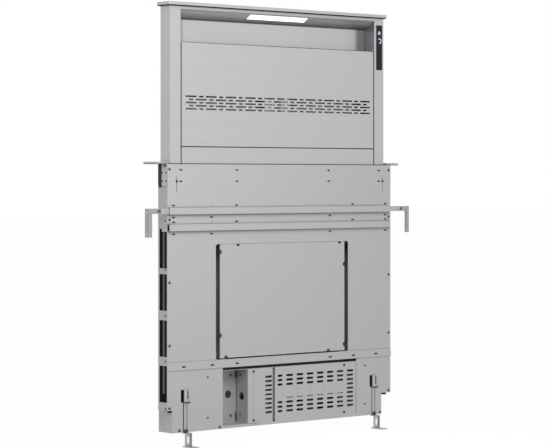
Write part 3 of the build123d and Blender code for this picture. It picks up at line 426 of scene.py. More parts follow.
def islands(node):
    """Lowest and highest corner of each separate solid in a CAD node."""
    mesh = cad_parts[node].data
    keys = [tuple(round(value, 6) for value in vertex.co) for vertex in mesh.vertices]
    home = {key: key for key in keys}

    def root(key):
        while home[key] != key:
            home[key] = home[home[key]]
            key = home[key]
        return key

    for face in mesh.polygons:
        first = root(keys[face.vertices[0]])
        for index in face.vertices[1:]:
            home[root(keys[index])] = first
    groups = {}
    for key in home:
        groups.setdefault(root(key), []).append(key)
    boxes = []
    for points in groups.values():
        low = Vector([min(point[axis] for point in points) for axis in range(3)])
        high = Vector([max(point[axis] for point in points) for axis in range(3)])
        boxes.append((low, high))
    return sorted(boxes, key=lambda box: tuple(box[0]))


# ---------------------------------------------------------------- finishes
def new_finish(name, colour, metallic, roughness):
    """A material with its shader, and the object coordinates that its patterns read."""
    material = bpy.data.materials.new(name)
    material.use_nodes = True
    tree = material.node_tree
    shader = tree.nodes["Principled BSDF"]
    shader.inputs["Base Color"].default_value = (*colour, 1)
    shader.inputs["Metallic"].default_value = metallic
    shader.inputs["Roughness"].default_value = roughness
    place = tree.nodes.new("ShaderNodeTexCoord").outputs["Object"]
    return material, tree, shader, place


def noise_on(tree, place, stretch, scale, detail=2.0):
    """Noise on stretched object coordinates."""
    mapping = tree.nodes.new("ShaderNodeMapping")
    mapping.inputs["Scale"].default_value = stretch
    tree.links.new(place, mapping.inputs["Vector"])
    noise = tree.nodes.new("ShaderNodeTexNoise")
    noise.inputs["Scale"].default_value = scale
    noise.inputs["Detail"].default_value = detail
    tree.links.new(mapping.outputs["Vector"], noise.inputs["Vector"])
    return noise.outputs["Fac"]


def ranged(tree, value, start, end, low, high, smooth=False):
    """Bring a value from one range to another."""
    node = tree.nodes.new("ShaderNodeMapRange")
    if smooth:
        node.interpolation_type = "SMOOTHSTEP"
    levels = {"From Min": start, "From Max": end, "To Min": low, "To Max": high}
    for name, level in levels.items():
        node.inputs[name].default_value = level
    tree.links.new(value, node.inputs["Value"])
    return node.outputs["Result"]


def spread(tree, value, low, high):
    """Bring a noise of about 0.3 to 0.7 to a new range."""
    return ranged(tree, value, 0.3, 0.7, low, high)


def computed(tree, operation, *values):
    """The result of a math node on sockets and numbers."""
    node = tree.nodes.new("ShaderNodeMath")
    node.operation = operation
    for place, value in zip(node.inputs, values):
        if isinstance(value, (int, float)):
            place.default_value = value
        else:
            tree.links.new(value, place)
    return node.outputs[0]


def scaled(tree, colour, factor):
    """A colour times the factor on a socket."""
    node = tree.nodes.new("ShaderNodeVectorMath")
    node.operation = "SCALE"
    tree.links.new(colour, node.inputs[0])
    tree.links.new(factor, node.inputs["Scale"])
    return node.outputs["Vector"]


def along(tree, place, axis):
    """One coordinate of a place."""
    node = tree.nodes.new("ShaderNodeSeparateXYZ")
    tree.links.new(place, node.inputs["Vector"])
    return node.outputs[axis]


def tint(tree, value, colour, amount):
    """A colour that darkens and lightens by an amount along a value."""
    ramp = tree.nodes.new("ShaderNodeValToRGB")
    ramp.color_ramp.elements[0].position = 0.3
    ramp.color_ramp.elements[1].position = 0.7
    ramp.color_ramp.elements[0].color = (*[channel * (1 - amount) for channel in colour], 1)
    ramp.color_ramp.elements[1].color = (*[min(1, channel * (1 + amount)) for channel in colour], 1)
    tree.links.new(value, ramp.inputs["Fac"])
    return ramp.outputs["Color"]


def relief(tree, shader, value, strength, height):
    """A fine surface relief from a value."""
    bump = tree.nodes.new("ShaderNodeBump")
    bump.inputs["Strength"].default_value = strength
    bump.inputs["Distance"].default_value = height
    tree.links.new(value, bump.inputs["Height"])
    tree.links.new(bump.outputs["Normal"], shader.inputs["Normal"])


def painted_seam_shade(tree, colour, reach, darkest):
    """A colour with painted shade, darker in seams and inner corners as ambient occlusion finds
    them.
    """
    seam = tree.nodes.new("ShaderNodeAmbientOcclusion")
    seam.samples = 8
    seam.inputs["Distance"].default_value = reach
    return scaled(tree, colour, ranged(tree, seam.outputs["AO"], 0.35, 0.95, darkest, 1.0))


def painted_band_shade(tree, place, colour, start, end, shade_start, shade_end):
    """A colour with painted shade that changes over a stretch of the distance from the centre line.
    """
    distance = computed(tree, "ABSOLUTE", along(tree, place, "X"))
    shade = ranged(tree, distance, start, end, shade_start, shade_end, smooth=True)
    return scaled(tree, colour, shade)


def grained_finish(
    name, colour, metallic, roughness, stretch, scale, amount, rough_spread, height,
    seam=None, band=None,
):
    """A finish with a fine grain that moves its colour, its gloss and its relief, with painted
    shade in seams and in a band when given.
    """
    material, tree, shader, place = new_finish(name, colour, metallic, roughness)
    grain = noise_on(tree, place, stretch, scale)
    varied = tint(tree, grain, colour, amount)
    if seam:
        # painted shade in seams and inner corners
        varied = painted_seam_shade(tree, varied, *seam)
    if band:
        # painted shade band by the distance from the centre line
        varied = painted_band_shade(tree, place, varied, *band)
    tree.links.new(varied, shader.inputs["Base Color"])
    cloud = noise_on(tree, place, (1, 1, 1), 6.0, 3.0)
    blend = computed(tree, "MULTIPLY_ADD", grain, 0.5, computed(tree, "MULTIPLY", cloud, 0.5))
    rough = spread(tree, blend, roughness - rough_spread, roughness + rough_spread)
    tree.links.new(rough, shader.inputs["Roughness"])
    relief(tree, shader, grain, 0.5, height)
    return material


def matt_gloss(material, level):
    """Lower the mirror share of a finish."""
    material.node_tree.nodes["Principled BSDF"].inputs["Specular IOR Level"].default_value = level
    return material


def header_finish(name, colour):
    """Stainless sheet with a painted highlight and painted shade on its sloped underside, for the
    dark recess it mirrors.
    """
    material, tree, shader, place = new_finish(name, colour, 0.65, 0.28)
    low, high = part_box("header")
    grain = noise_on(tree, place, (2, 25, 500), 1.0)
    # painted shade in seams and inner corners
    sheet = painted_seam_shade(tree, tint(tree, grain, colour, 0.035), 0.004, 0.5)
    # painted shade along the slope, from its front edge to its rear edge
    depth = ranged(tree, along(tree, place, "Y"), low.y, high.y, 0, 1)
    painted_shade_ramp = tree.nodes.new("ShaderNodeValToRGB")
    stops = painted_shade_ramp.color_ramp.elements
    stops[0].position = 0.02
    stops[0].color = (0.5, 0.5, 0.5, 1)
    stops[1].position = 1.0
    stops[1].color = (0.07, 0.07, 0.07, 1)
    for position, level in ((0.05, 1.0), (0.40, 0.78), (0.75, 0.36)):
        stops.new(position).color = (level, level, level, 1)
    tree.links.new(depth, painted_shade_ramp.inputs["Fac"])
    shaded = tree.nodes.new("ShaderNodeVectorMath")
    shaded.operation = "MULTIPLY"
    tree.links.new(sheet, shaded.inputs[0])
    tree.links.new(painted_shade_ramp.outputs["Color"], shaded.inputs[1])
    # raised 1.8 times, which makes the front of the ramp a painted highlight
    lifted = tree.nodes.new("ShaderNodeVectorMath")
    lifted.operation = "SCALE"
    lifted.inputs["Scale"].default_value = 1.8
    tree.links.new(shaded.outputs["Vector"], lifted.inputs[0])
    tree.links.new(lifted.outputs["Vector"], shader.inputs["Base Color"])
    tree.links.new(spread(tree, grain, 0.24, 0.34), shader.inputs["Roughness"])
    relief(tree, shader, grain, 0.5, 0.00004)
    return material


def zinc_finish(name, colour, roughness):
    """Zinc plate with its faint crystal pattern and painted shade in its seams and inner corners.
    """
    material, tree, shader, place = new_finish(name, colour, 0.75, roughness)
    cells = tree.nodes.new("ShaderNodeTexVoronoi")
    cells.inputs["Scale"].default_value = 260
    tree.links.new(place, cells.inputs["Vector"])
    level = tree.nodes.new("ShaderNodeRGBToBW")
    tree.links.new(cells.outputs["Color"], level.inputs["Color"])
    # painted shade in seams and inner corners
    plate = painted_seam_shade(tree, tint(tree, level.outputs["Val"], colour, 0.06), 0.004, 0.4)
    tree.links.new(plate, shader.inputs["Base Color"])
    rough = spread(tree, level.outputs["Val"], roughness - 0.06, roughness + 0.08)
    tree.links.new(rough, shader.inputs["Roughness"])
    return material


def glass_finish(name, colour):
    """Black glass with a faint blue glow round its two lit marks."""
    material, tree, shader, place = new_finish(name, colour, 0.0, 0.12)
    low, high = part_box("control_glass")
    distance = tree.nodes.new("ShaderNodeVectorMath")
    distance.operation = "DISTANCE"
    distance.inputs[1].default_value = ((low.x + high.x) / 2, low.y, high.z - 0.034)
    tree.links.new(place, distance.inputs[0])
    glow = ranged(tree, distance.outputs["Value"], 0.004, 0.036, 1, 0, smooth=True)
    shade = noise_on(tree, place, (1, 1, 1), 90)
    lit = computed(tree, "MULTIPLY", glow, spread(tree, shade, 0.025, 0.05))
    shader.inputs["Emission Color"].default_value = (0.04, 0.36, 0.85, 1)
    tree.links.new(lit, shader.inputs["Emission Strength"])
    return matt_gloss(material, 0.22)


def mark_finish(name, strength):
    """White light of a mark on the touch control, a little uneven."""
    material, tree, shader, place = new_finish(name, (0.8, 0.85, 0.9), 0.0, 0.4)
    shader.inputs["Emission Color"].default_value = (0.85, 0.94, 1.0, 1)
    shade = noise_on(tree, place, (1, 1, 1), 400)
    light = spread(tree, shade, strength * 0.9, strength * 1.1)
    tree.links.new(light, shader.inputs["Emission Strength"])
    return material


def lens_finish(name, strength):
    """Frosted lens, brighter over each diode of the board behind it."""
    material, tree, shader, place = new_finish(name, (0.9, 0.9, 0.9), 0.0, 0.45)
    wave = tree.nodes.new("ShaderNodeTexWave")
    wave.bands_direction = "X"
    wave.inputs["Scale"].default_value = 4.3
    tree.links.new(place, wave.inputs["Vector"])
    light = spread(tree, wave.outputs["Fac"], strength * 0.9, strength * 1.1)
    tree.links.new(light, shader.inputs["Emission Strength"])
    shader.inputs["Emission Color"].default_value = (1.0, 0.995, 0.98, 1)
    return material


# painted shade on the stainless sheets by the distance from the centre line, for their shade and
# for the dark reflections of each other in the intake recess: start and end of the stretch, shade
# at its start and at its end
STAINLESS_PAINTED_SHADE = {
    "brushed_stainless": None,
    "post_stainless_painted_shade": (0.3716, 0.3724, 0.38, 1.0),
    "back_stainless_painted_shade": (0.326, 0.345, 1.0, 0.42),
}

# finishes with little gloss, each with its specular level
MATT_LEVELS = {
    "black_steel": 0.04, "black_rubber": 0.04, "black_plastic": 0.04, "dark_steel_and_painted_shade": 0.04,
    "circuit_board": 0.2, "blue_sleeve": 0.2, "copper_wire": 0.2, "strap_black": 0.2,
}

# name: colour, metallic, roughness, grain stretch, grain scale, colour spread, gloss spread, relief
PLAIN_FINISHES = {
    "inner_sheet": ((0.41, 0.415, 0.416), 0.4, 0.5, (1, 1, 1), 600.0, 0.05, 0.06, 0.00004),
    # dark steel of the transformer core, also painted shade for the thin dark strips, slits, slot
    # fillings and marks
    "dark_steel_and_painted_shade": ((0.05, 0.05, 0.052), 0.3, 0.6, (1, 1, 1), 500.0, 0.15, 0.06, 0.00004),
    # the access frame is dark as painted shade behind the slots of the front
    "opening_steel_painted_shade": ((0.13, 0.13, 0.132), 0.3, 0.5, (1, 1, 1), 500.0, 0.1, 0.06, 0.00004),
    "strap_black": ((0.030, 0.030, 0.031), 0.0, 0.4, (1, 1, 1), 900.0, 0.2, 0.08, 0.00005),
    "knob_steel": ((0.085, 0.085, 0.087), 0.5, 0.42, (1, 1, 1), 700.0, 0.12, 0.06, 0.00003),
    "black_steel": ((0.005, 0.005, 0.0055), 0.0, 0.6, (1, 1, 1), 500.0, 0.25, 0.08, 0.00003),
    "black_rubber": ((0.012, 0.012, 0.013), 0.0, 0.75, (1, 1, 1), 800.0, 0.2, 0.06, 0.00005),
    "black_plastic": ((0.016, 0.016, 0.018), 0.0, 0.5, (1, 1, 1), 1200.0, 0.15, 0.05, 0.00003),
    "grey_plastic": ((0.22, 0.225, 0.23), 0.0, 0.48, (1, 1, 1), 1200.0, 0.05, 0.05, 0.00003),
    "blue_sleeve": ((0.012, 0.018, 0.032), 0.0, 0.5, (1, 1, 1), 700.0, 0.06, 0.05, 0.00002),
    "bronze": ((0.44, 0.27, 0.12), 1.0, 0.34, (1, 1, 30), 200.0, 0.1, 0.08, 0.00002),
    "copper_wire": ((0.09, 0.045, 0.025), 0.5, 0.5, (1, 1, 60), 90.0, 0.2, 0.06, 0.0001),
    "aluminium": ((0.26, 0.262, 0.265), 0.8, 0.45, (1, 60, 1), 60.0, 0.06, 0.07, 0.00003),
    "screw_metal": ((0.06, 0.06, 0.062), 0.4, 0.45, (1, 1, 1), 700.0, 0.15, 0.08, 0.00002),
    "screw_steel": ((0.42, 0.42, 0.425), 0.95, 0.26, (1, 1, 60), 60.0, 0.08, 0.06, 0.00002),
    "filter_rim": ((0.62, 0.622, 0.625), 0.35, 0.45, (60, 1, 1), 60.0, 0.05, 0.06, 0.00003),
    # the filter mesh is near black: painted shade behind the perforated door
    "filter_mesh": ((0.012, 0.012, 0.0125), 0.2, 0.55, (1, 1, 1), 500.0, 0.2, 0.08, 0.00003),
    # dark green solder mask, darkened nearly to black as painted shade behind the louvres
    "circuit_board": ((0.008, 0.036, 0.020), 0.0, 0.5, (1, 1, 1), 300.0, 0.2, 0.08, 0.00004),
    "motor_enamel": ((0.03, 0.031, 0.033), 0.2, 0.42, (1, 1, 1), 900.0, 0.12, 0.06, 0.00004),
    "cast_zinc": ((0.30, 0.305, 0.31), 0.8, 0.5, (1, 1, 1), 400.0, 0.1, 0.07, 0.00008),
}


def make_finishes(colours):
    """Every finish of the vent, by name."""
    finishes = {
        "header_sheet_painted_shade": header_finish("header_sheet_painted_shade", tuple(colours.stainless)),
        "satin_sheet": grained_finish(
            "satin_sheet", tuple(colours.housing), 0.3, 0.46, (1, 1, 1), 900.0, 0.02, 0.05, 0.00003,
            # reach and darkest level of the painted shade in seams and inner corners
            (0.005, 0.2),
        ),
        "zinc_plate": zinc_finish("zinc_plate", (0.46, 0.465, 0.46), 0.38),
        # rougher zinc, darkened as painted shade inside the side windows
        "dull_zinc_painted_shade": zinc_finish("dull_zinc_painted_shade", (0.10, 0.10, 0.102), 0.55),
        "arm_zinc": zinc_finish("arm_zinc", (0.38, 0.38, 0.382), 0.42),
        "touch_glass": glass_finish("touch_glass", tuple(colours.glass)),
        "lit_mark": mark_finish("lit_mark", 0.55),
        "light_lens": lens_finish("light_lens", colours.lens_light),
    }
    for name, band in STAINLESS_PAINTED_SHADE.items():
        finishes[name] = grained_finish(
            name, tuple(colours.stainless), 0.6, 0.36, (2, 25, 500), 1.0, 0.03, 0.04, 0.00003,
            # painted shade in seams, and the painted shade band of the table above
            (0.004, 0.3), band,
        )
    for name, values in PLAIN_FINISHES.items():
        finishes[name] = grained_finish(name, *values)
    for name, level in MATT_LEVELS.items():
        matt_gloss(finishes[name], level)
    return finishes


FINISHES = {}


def finish_of(name):
    """A finish by name, made on first use."""
    if not FINISHES:
        FINISHES.update(make_finishes(bpy.context.scene.vent_colours))
    return FINISHES[name]


# ---------------------------------------------------------------- stage
class VENT_OT_stage(Operator):
    """Build the pale floor, the soft lamp, the bright surroundings and the camera"""

    bl_idname = "vent.stage"
    bl_label = "Stage"

    def execute(self, context):
        colours = context.scene.vent_colours
        context.scene.view_settings.view_transform = "Standard"
        self.add_camera(context)
        self.add_floor()
        self.add_sky(context, colours)
        self.add_lamp("key_lamp", LAMP_PLACE, LAMP_SIZE, colours.key_power)
        return {"FINISHED"}

    def add_camera(self, context):
        """The level camera of the photograph, 40 degrees to the left of the front."""
        deselect()
        bpy.ops.object.camera_add(
            location=CAMERA_PLACE, rotation=(math.pi / 2, 0, math.radians(CAMERA_TURN))
        )
        camera = context.object
        camera.name = "camera"
        camera.data.sensor_width = SENSOR_WIDTH
        camera.data.lens = FOCAL_PIXELS * SENSOR_WIDTH / PHOTO_WIDTH
        camera.data.shift_y = -HORIZON_RISE / PHOTO_WIDTH
        camera.data.clip_end = 200
        context.scene.camera = camera

    def add_floor(self):
        """A wide pale floor that stays near white to the camera and keeps a soft shadow."""
        deselect()
        bpy.ops.mesh.primitive_plane_add(size=60, location=(0, 0, CAD_BOX[0][2] - 0.0005))
        floor = bpy.context.object
        floor.name = "studio_floor"
        settle(floor)
        material = bpy.data.materials.new("studio_floor")
        material.use_nodes = True
        tree = material.node_tree
        shader = tree.nodes["Principled BSDF"]
        shader.inputs["Base Color"].default_value = (0.60, 0.60, 0.60, 1)
        shader.inputs["Roughness"].default_value = 0.9
        shader.inputs["Specular IOR Level"].default_value = 0.0
        glow = tree.nodes.new("ShaderNodeEmission")
        glow.inputs["Strength"].default_value = 1.04
        mixed = tree.nodes.new("ShaderNodeMixShader")
        tree.links.new(self.seen_rays(tree, 0.93), mixed.inputs[0])
        tree.links.new(shader.outputs["BSDF"], mixed.inputs[1])
        tree.links.new(glow.outputs["Emission"], mixed.inputs[2])
        tree.links.new(mixed.outputs[0], tree.nodes["Material Output"].inputs["Surface"])
        floor.data.materials.append(material)

    def seen_rays(self, tree, share):
        """A share for rays that look at a surface directly, in a reflection or through glass."""
        rays = tree.nodes.new("ShaderNodeLightPath").outputs
        seen = computed(tree, "MAXIMUM", rays["Is Camera Ray"], rays["Is Glossy Ray"])
        seen = computed(tree, "MAXIMUM", seen, rays["Is Transmission Ray"])
        return computed(tree, "MULTIPLY", seen, share)

    def add_sky(self, context, colours):
        """White surroundings for the eye and for gloss, a softer level for matt surfaces."""
        world = bpy.data.worlds.new("studio_sky")
        context.scene.world = world
        world.use_nodes = True
        tree = world.node_tree
        background = tree.nodes["Background"]
        background.inputs["Color"].default_value = (1, 1, 1, 1)
        level = ranged(tree, self.seen_rays(tree, 1.0), 0, 1, colours.sky_level, 1.0)
        tree.links.new(level, background.inputs["Strength"])

    def add_lamp(self, name, place, size, power):
        """A square soft lamp that points at the middle of the vent."""
        aim = VENT_MIDDLE - Vector(place)
        deselect()
        bpy.ops.object.light_add(
            type="AREA", location=place, rotation=aim.to_track_quat("-Z", "Y").to_euler()
        )
        lamp = bpy.context.object
        lamp.name = name
        lamp.data.size = size
        lamp.data.energy = power


# ---------------------------------------------------------------- finishes on the frame
class VENT_OT_sheet_metal(Operator):
    """Give every sheet, slide and small part of the frame its finish"""

    bl_idname = "vent.sheet_metal"
    bl_label = "Finishes of the frame"

    def execute(self, context):
        for finish, nodes in SHEET_NODES.items():
            for node in nodes:
                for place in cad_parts[node].material_slots:
                    place.material = finish_of(finish)
        return {"FINISHED"}


# ---------------------------------------------------------------- light lens
class VENT_OT_light_lens(Operator):
    """Model the frosted lens in the sloped header"""

    bl_idname = "vent.light_lens"
    bl_label = "Light lens"

    def execute(self, context):
        sizes = context.scene.vent_sizes
        low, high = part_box("led_lens")
        middle = (low + high) / 2
        rise, run = math.sin(LENS_SLOPE), math.cos(LENS_SLOPE)
        depth = (high.y - low.y - LENS_THICKNESS * rise) / run
        half = Vector(((high.x - low.x) / 2, depth / 2, LENS_THICKNESS / 2))
        lens = add_block("light_lens", middle - half, middle + half, (-LENS_SLOPE, 0, 0))
        below = Vector((0, -rise, -run))
        inset_faces(
            lens, lambda centre, normal: normal.dot(below) > 0.9,
            (0.0012, 0), (0.0006, -0.0003),
        )
        bevel_all(lens, sizes.lens_bevel * 0.5)
        dress(lens, "light_lens", "chimney", "lens", "led_lens")
        return {"FINISHED"}


# ---------------------------------------------------------------- touch control
class VENT_OT_touch_control(Operator):
    """Model the black glass of the touch control and its lit marks"""

    bl_idname = "vent.touch_control"
    bl_label = "Touch control"

    def execute(self, context):
        sizes = context.scene.vent_sizes
        low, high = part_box("control_glass")
        glass = add_block("touch_glass", low, high)
        bevel_edges(glass, lambda a, b: abs(a.y - b.y) > 0.002, 0.0015, 5)
        bevel_edges(glass, lambda a, b: max(a.y, b.y) < low.y + 0.0001, sizes.glass_bevel * 0.7, 3)
        dress(glass, "touch_glass", "chimney", "control_glass", "control_glass")
        face = low.y
        mark = (LIGHT_MARK[0], face, LIGHT_MARK[1])
        ring = self.ring("mark_ring", mark, 0.0044, 0.0004)
        dot = add_rod("mark_dot", mark, 0.0024, 0.0002, "Y", 24)
        bevel_all(dot, 0.00008)
        dress(join("light_mark", (ring, dot)), "lit_mark", "chimney", "control_glass")
        arc = self.ring("power_mark", (POWER_MARK[0], face, POWER_MARK[1]), 0.0066, 0.0009)
        pick_all(arc)
        bpy.ops.mesh.bisect(
            plane_co=(POWER_MARK_CUT, face, POWER_MARK[1]), plane_no=(1, 0, 0.2),
            use_fill=True, clear_inner=True,
        )
        leave_edit()
        dress(arc, "lit_mark", "chimney", "control_glass")
        return {"FINISHED"}

    def ring(self, name, centre, radius, thickness):
        """A ring that stands a little above the glass, pressed nearly flat."""
        ring = add_ring(name, (0, 0, 0), radius, thickness, "Y", 40)
        ring.scale = (1, 0.14, 1)
        ring.location = centre
        settle(ring)
        return ring


# ---------------------------------------------------------------- screws
# height of the master head, whose radius is 1
MASTER_HEAD_HEIGHT = 0.44


def cross_head(name, radius, height, recess):
    """A pan head screw at the origin that faces up, with a cross cut into it."""
    head = add_rod(name, (0, 0, height / 2), radius, height, "Z", 24)
    bevel_edges(head, lambda a, b: min(a.z, b.z) > height * 0.9, height * 0.55, 3)
    arm = radius * 0.62
    thin = radius * 0.13
    floor = height * (1 - recess)
    first = add_block("cross_x", (-arm, -thin, floor), (arm, thin, height * 2))
    second = add_block("cross_y", (-thin, -arm, floor), (thin, arm, height * 2))
    cut_away(head, first)
    cut_away(head, second)
    return head


def screw_set(name, node, recess, place_of):
    """Copies of one head over every solid of a screw node, joined to one piece."""
    master = cross_head(name, 1.0, MASTER_HEAD_HEIGHT, recess)
    heads = []
    for low, high in islands(node):
        seat, turn, radius, height = place_of(low, high)
        size = (radius, radius, height / MASTER_HEAD_HEIGHT)
        heads.append(copy_to(master, seat, turn, size))
    remove(master)
    return join(name, heads)


class VENT_OT_screws(Operator):
    """Model the cross head screws of the front and of the sides"""

    bl_idname = "vent.screws"
    bl_label = "Screws"

    def execute(self, context):
        recess = context.scene.vent_sizes.screw_recess
        front = screw_set("front_cross_heads", "front_screws", recess, self.on_front)
        dress(front, "screw_metal", "housing", "screws", "front_screws")
        sides = screw_set("side_cross_heads", "side_screws", recess, self.on_side)
        dress(sides, "screw_metal", "housing", "screws", "side_screws")
        return {"FINISHED"}

    def on_front(self, low, high):
        """Place, turn, radius and height of a head on a front face."""
        seat = Vector(((low.x + high.x) / 2, high.y, (low.z + high.z) / 2))
        return seat, (math.pi / 2, 0, 0), (high.x - low.x) / 2, high.y - low.y

    def on_side(self, low, high):
        """Place, turn, radius and height of a head on a side face."""
        outward = 1 if low.x > 0 else -1
        seat_x = low.x if outward > 0 else high.x
        seat = Vector((seat_x, (low.y + high.y) / 2, (low.z + high.z) / 2))
        return seat, (0, outward * math.pi / 2, 0), (high.z - low.z) / 2, high.x - low.x


# ---------------------------------------------------------------- grease filters
class VENT_OT_grease_filters(Operator):
    """Model the two framed grease filters of expanded metal behind the door"""

    bl_idname = "vent.grease_filters"
    bl_label = "Grease filters"

    def execute(self, context):
        pitch = context.scene.vent_sizes.mesh_pitch
        boxes = islands("grease_filters")
        for side, (rim_box, mesh_box) in (("left", boxes[:2]), ("right", boxes[2:4])):
            rim = self.rim("filter_rim_" + side, rim_box, mesh_box)
            dress(rim, "filter_rim", "chimney", "filter_mesh", "grease_filters")
            layer = self.layer("filter_mesh_" + side, mesh_box, pitch)
            # the near-black mesh finish is painted shade behind the door's perforations
            dress(layer, "filter_mesh", "chimney", "filter_mesh", "grease_filters")
        return {"FINISHED"}

    def rim(self, name, outer, opening):
        """The folded rim: a frame with rounded edges and two round pull tabs."""
        low, high = outer
        rim = add_block(name, low, high)
        inner_low, inner_high = opening
        hole_low = (inner_low.x, low.y - 0.01, inner_low.z)
        hole_high = (inner_high.x, high.y + 0.01, inner_high.z)
        cut_away(rim, add_block("hole", hole_low, hole_high))
        bevel_all(rim, 0.0008)
        tabs = []
        for share in (0.22, 0.78):
            place_x = inner_low.x + (inner_high.x - inner_low.x) * share
            place = (place_x, low.y - 0.0004, inner_low.z - 0.001)
            tabs.append(add_ring("tab", place, 0.007, 0.0009, "Y"))
        return join(name, [rim] + tabs)

    def layer(self, name, opening, pitch):
        """A sheet of expanded metal: a turned grid, trimmed to the rim and made of flat strands."""
        low, high = opening
        reach = (high.x - low.x + high.z - low.z) * 1.1
        cells = round(reach / pitch)
        deselect()
        bpy.ops.mesh.primitive_grid_add(
            x_subdivisions=cells, y_subdivisions=cells, size=reach,
            rotation=(math.pi / 2, math.pi / 4, 0),
        )
        sheet = bpy.context.object
        sheet.name = name
        settle(sheet)
        sheet.scale = (1.35, 1, 0.8)
        sheet.location = (low + high) / 2
        settle(sheet)
        for point, outward in (
            (low, (-1, 0, 0)), (low, (0, 0, -1)), (high, (1, 0, 0)), (high, (0, 0, 1)),
        ):
            slice_off(sheet, point, outward)
        activate(sheet)
        strands = sheet.modifiers.new("Strands", "WIREFRAME")
        strands.thickness = 0.0011
        strands.use_even_offset = False
        bpy.ops.object.modifier_apply(modifier=strands.name)
        return sheet


# ---------------------------------------------------------------- cap seal
class VENT_OT_cap_seal(Operator):
    """Model a black ring under the cap where it closes on the housing, painted shadow beneath the
    cap
    """

    bl_idname = "vent.cap_seal"
    bl_label = "Cap seal"

    def execute(self, context):
        cap_low, cap_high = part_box("cap")
        fold = 0.0015
        wide = 0.0029
        bottom = cap_low.z - 0.0026
        top = cap_low.z + 0.005
        # a black ring as painted shadow under the cap
        seal = add_block(
            "cap_seal", (cap_low.x + fold, cap_low.y + fold, bottom),
            (cap_high.x - fold, cap_high.y - fold, top),
        )
        inside = add_block(
            "inside",
            (cap_low.x + fold + wide, cap_low.y + fold + wide, bottom - 0.01),
            (cap_high.x - fold - wide, cap_high.y - fold - wide, top + 0.01),
        )
        cut_away(seal, inside)
        bevel_all(seal, 0.0006)
        dress(seal, "black_rubber", "chimney", "rubber")
        return {"FINISHED"}


# ---------------------------------------------------------------- hold-down strips
class VENT_OT_hold_down_strips(Operator):
    """Model the ribbed hold-down strips with their ring at the lower end"""

    bl_idname = "vent.hold_down_strips"
    bl_label = "Hold-down strips"

    def execute(self, context):
        pitch = context.scene.vent_sizes.rib_pitch
        pieces = [self.strip(low, high, pitch) for low, high in islands("hold_down_strips")]
        dress(
            join("hold_down_straps", pieces), "strap_black", "housing", "black_steel",
            "hold_down_strips",
        )
        return {"FINISHED"}

    def strip(self, low, high, pitch):
        """A flat strap with a round lower end, cross ribs on its outer face and a ring."""
        outward = 1 if low.x > 0 else -1
        seat, edge = (low.x, high.x) if outward > 0 else (high.x, low.x)
        face = seat + outward * 0.0022
        half = (high.y - low.y) / 2
        middle = (low.y + high.y) / 2
        strap = add_block("strap", (seat, low.y, low.z), (face, high.y, high.z))
        bevel_edges(
            strap, lambda a, b: max(a.z, b.z) < low.z + 0.001 and abs(a.x - b.x) > 0.001,
            half * 0.99, 8,
        )
        bevel_all(strap, 0.0003, 1)
        rib = add_block("rib", (seat, low.y + 0.001, -0.0007), (edge, high.y - 0.001, 0.0007))
        bevel_all(rib, 0.0004, 1)
        count = int((high.z - low.z - 0.022) / pitch)
        ribs = [copy_to(rib, (0, 0, high.z - 0.004 - number * pitch)) for number in range(count)]
        remove(rib)
        place = (face - outward * 0.0004, middle, low.z + half)
        ring = add_ring("ring", place, half * 0.72, 0.0011, "X")
        return join("strap", [strap, ring] + ribs)


# ---------------------------------------------------------------- lift drive
class VENT_OT_lift_screw(Operator):
    """Model the threaded lift screw by winding its section up along the axis"""

    bl_idname = "vent.lift_screw"
    bl_label = "Lift screw"

    def execute(self, context):
        lead = context.scene.vent_sizes.screw_lead
        low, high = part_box("lead_screw")
        centre = (low + high) / 2
        radius = (high.x - low.x) / 2
        turns = math.ceil((high.z - low.z) / lead) + 1
        deselect()
        bpy.ops.mesh.primitive_circle_add(
            vertices=20, radius=radius, location=(centre.x, centre.y, low.z - lead / 2)
        )
        thread = bpy.context.object
        thread.name = "lift_thread"
        settle(thread)
        self.sink_root(thread, centre, radius)
        thread.location = (-centre.x, -centre.y, 0)
        settle(thread)
        activate(thread)
        wind = thread.modifiers.new("Wind", "SCREW")
        wind.axis = "Z"
        wind.angle = -2 * math.pi
        wind.screw_offset = lead
        wind.iterations = turns
        wind.steps = 14
        wind.render_steps = 14
        bpy.ops.object.modifier_apply(modifier=wind.name)
        thread.location = (centre.x, centre.y, 0)
        settle(thread)
        for level, outward in ((low.z, (0, 0, -1)), (high.z, (0, 0, 1))):
            slice_off(thread, (0, 0, level), outward, filled=True)
            pick_all(thread)
            bpy.ops.mesh.normals_make_consistent(inside=False)
            leave_edit()
        dress(thread, "screw_steel", "screw", "zinc_parts", "lead_screw")
        return {"FINISHED"}

    def sink_root(self, thread, centre, radius):
        """Move the points of one side inward, so that the wound section has a crest and a root."""
        activate(thread)
        bpy.ops.object.mode_set(mode="EDIT")
        bpy.ops.mesh.select_mode(type="VERT")
        bpy.ops.mesh.select_all(action="DESELECT")
        bpy.ops.object.mode_set(mode="OBJECT")
        for point in thread.data.vertices:
            point.select = point.co.x < centre.x - radius * 0.2
        bpy.ops.object.mode_set(mode="EDIT")
        bpy.ops.transform.resize(
            value=(0.76, 0.76, 1),
            center_override=(centre.x, centre.y, thread.data.vertices[0].co.z),
        )
        leave_edit()


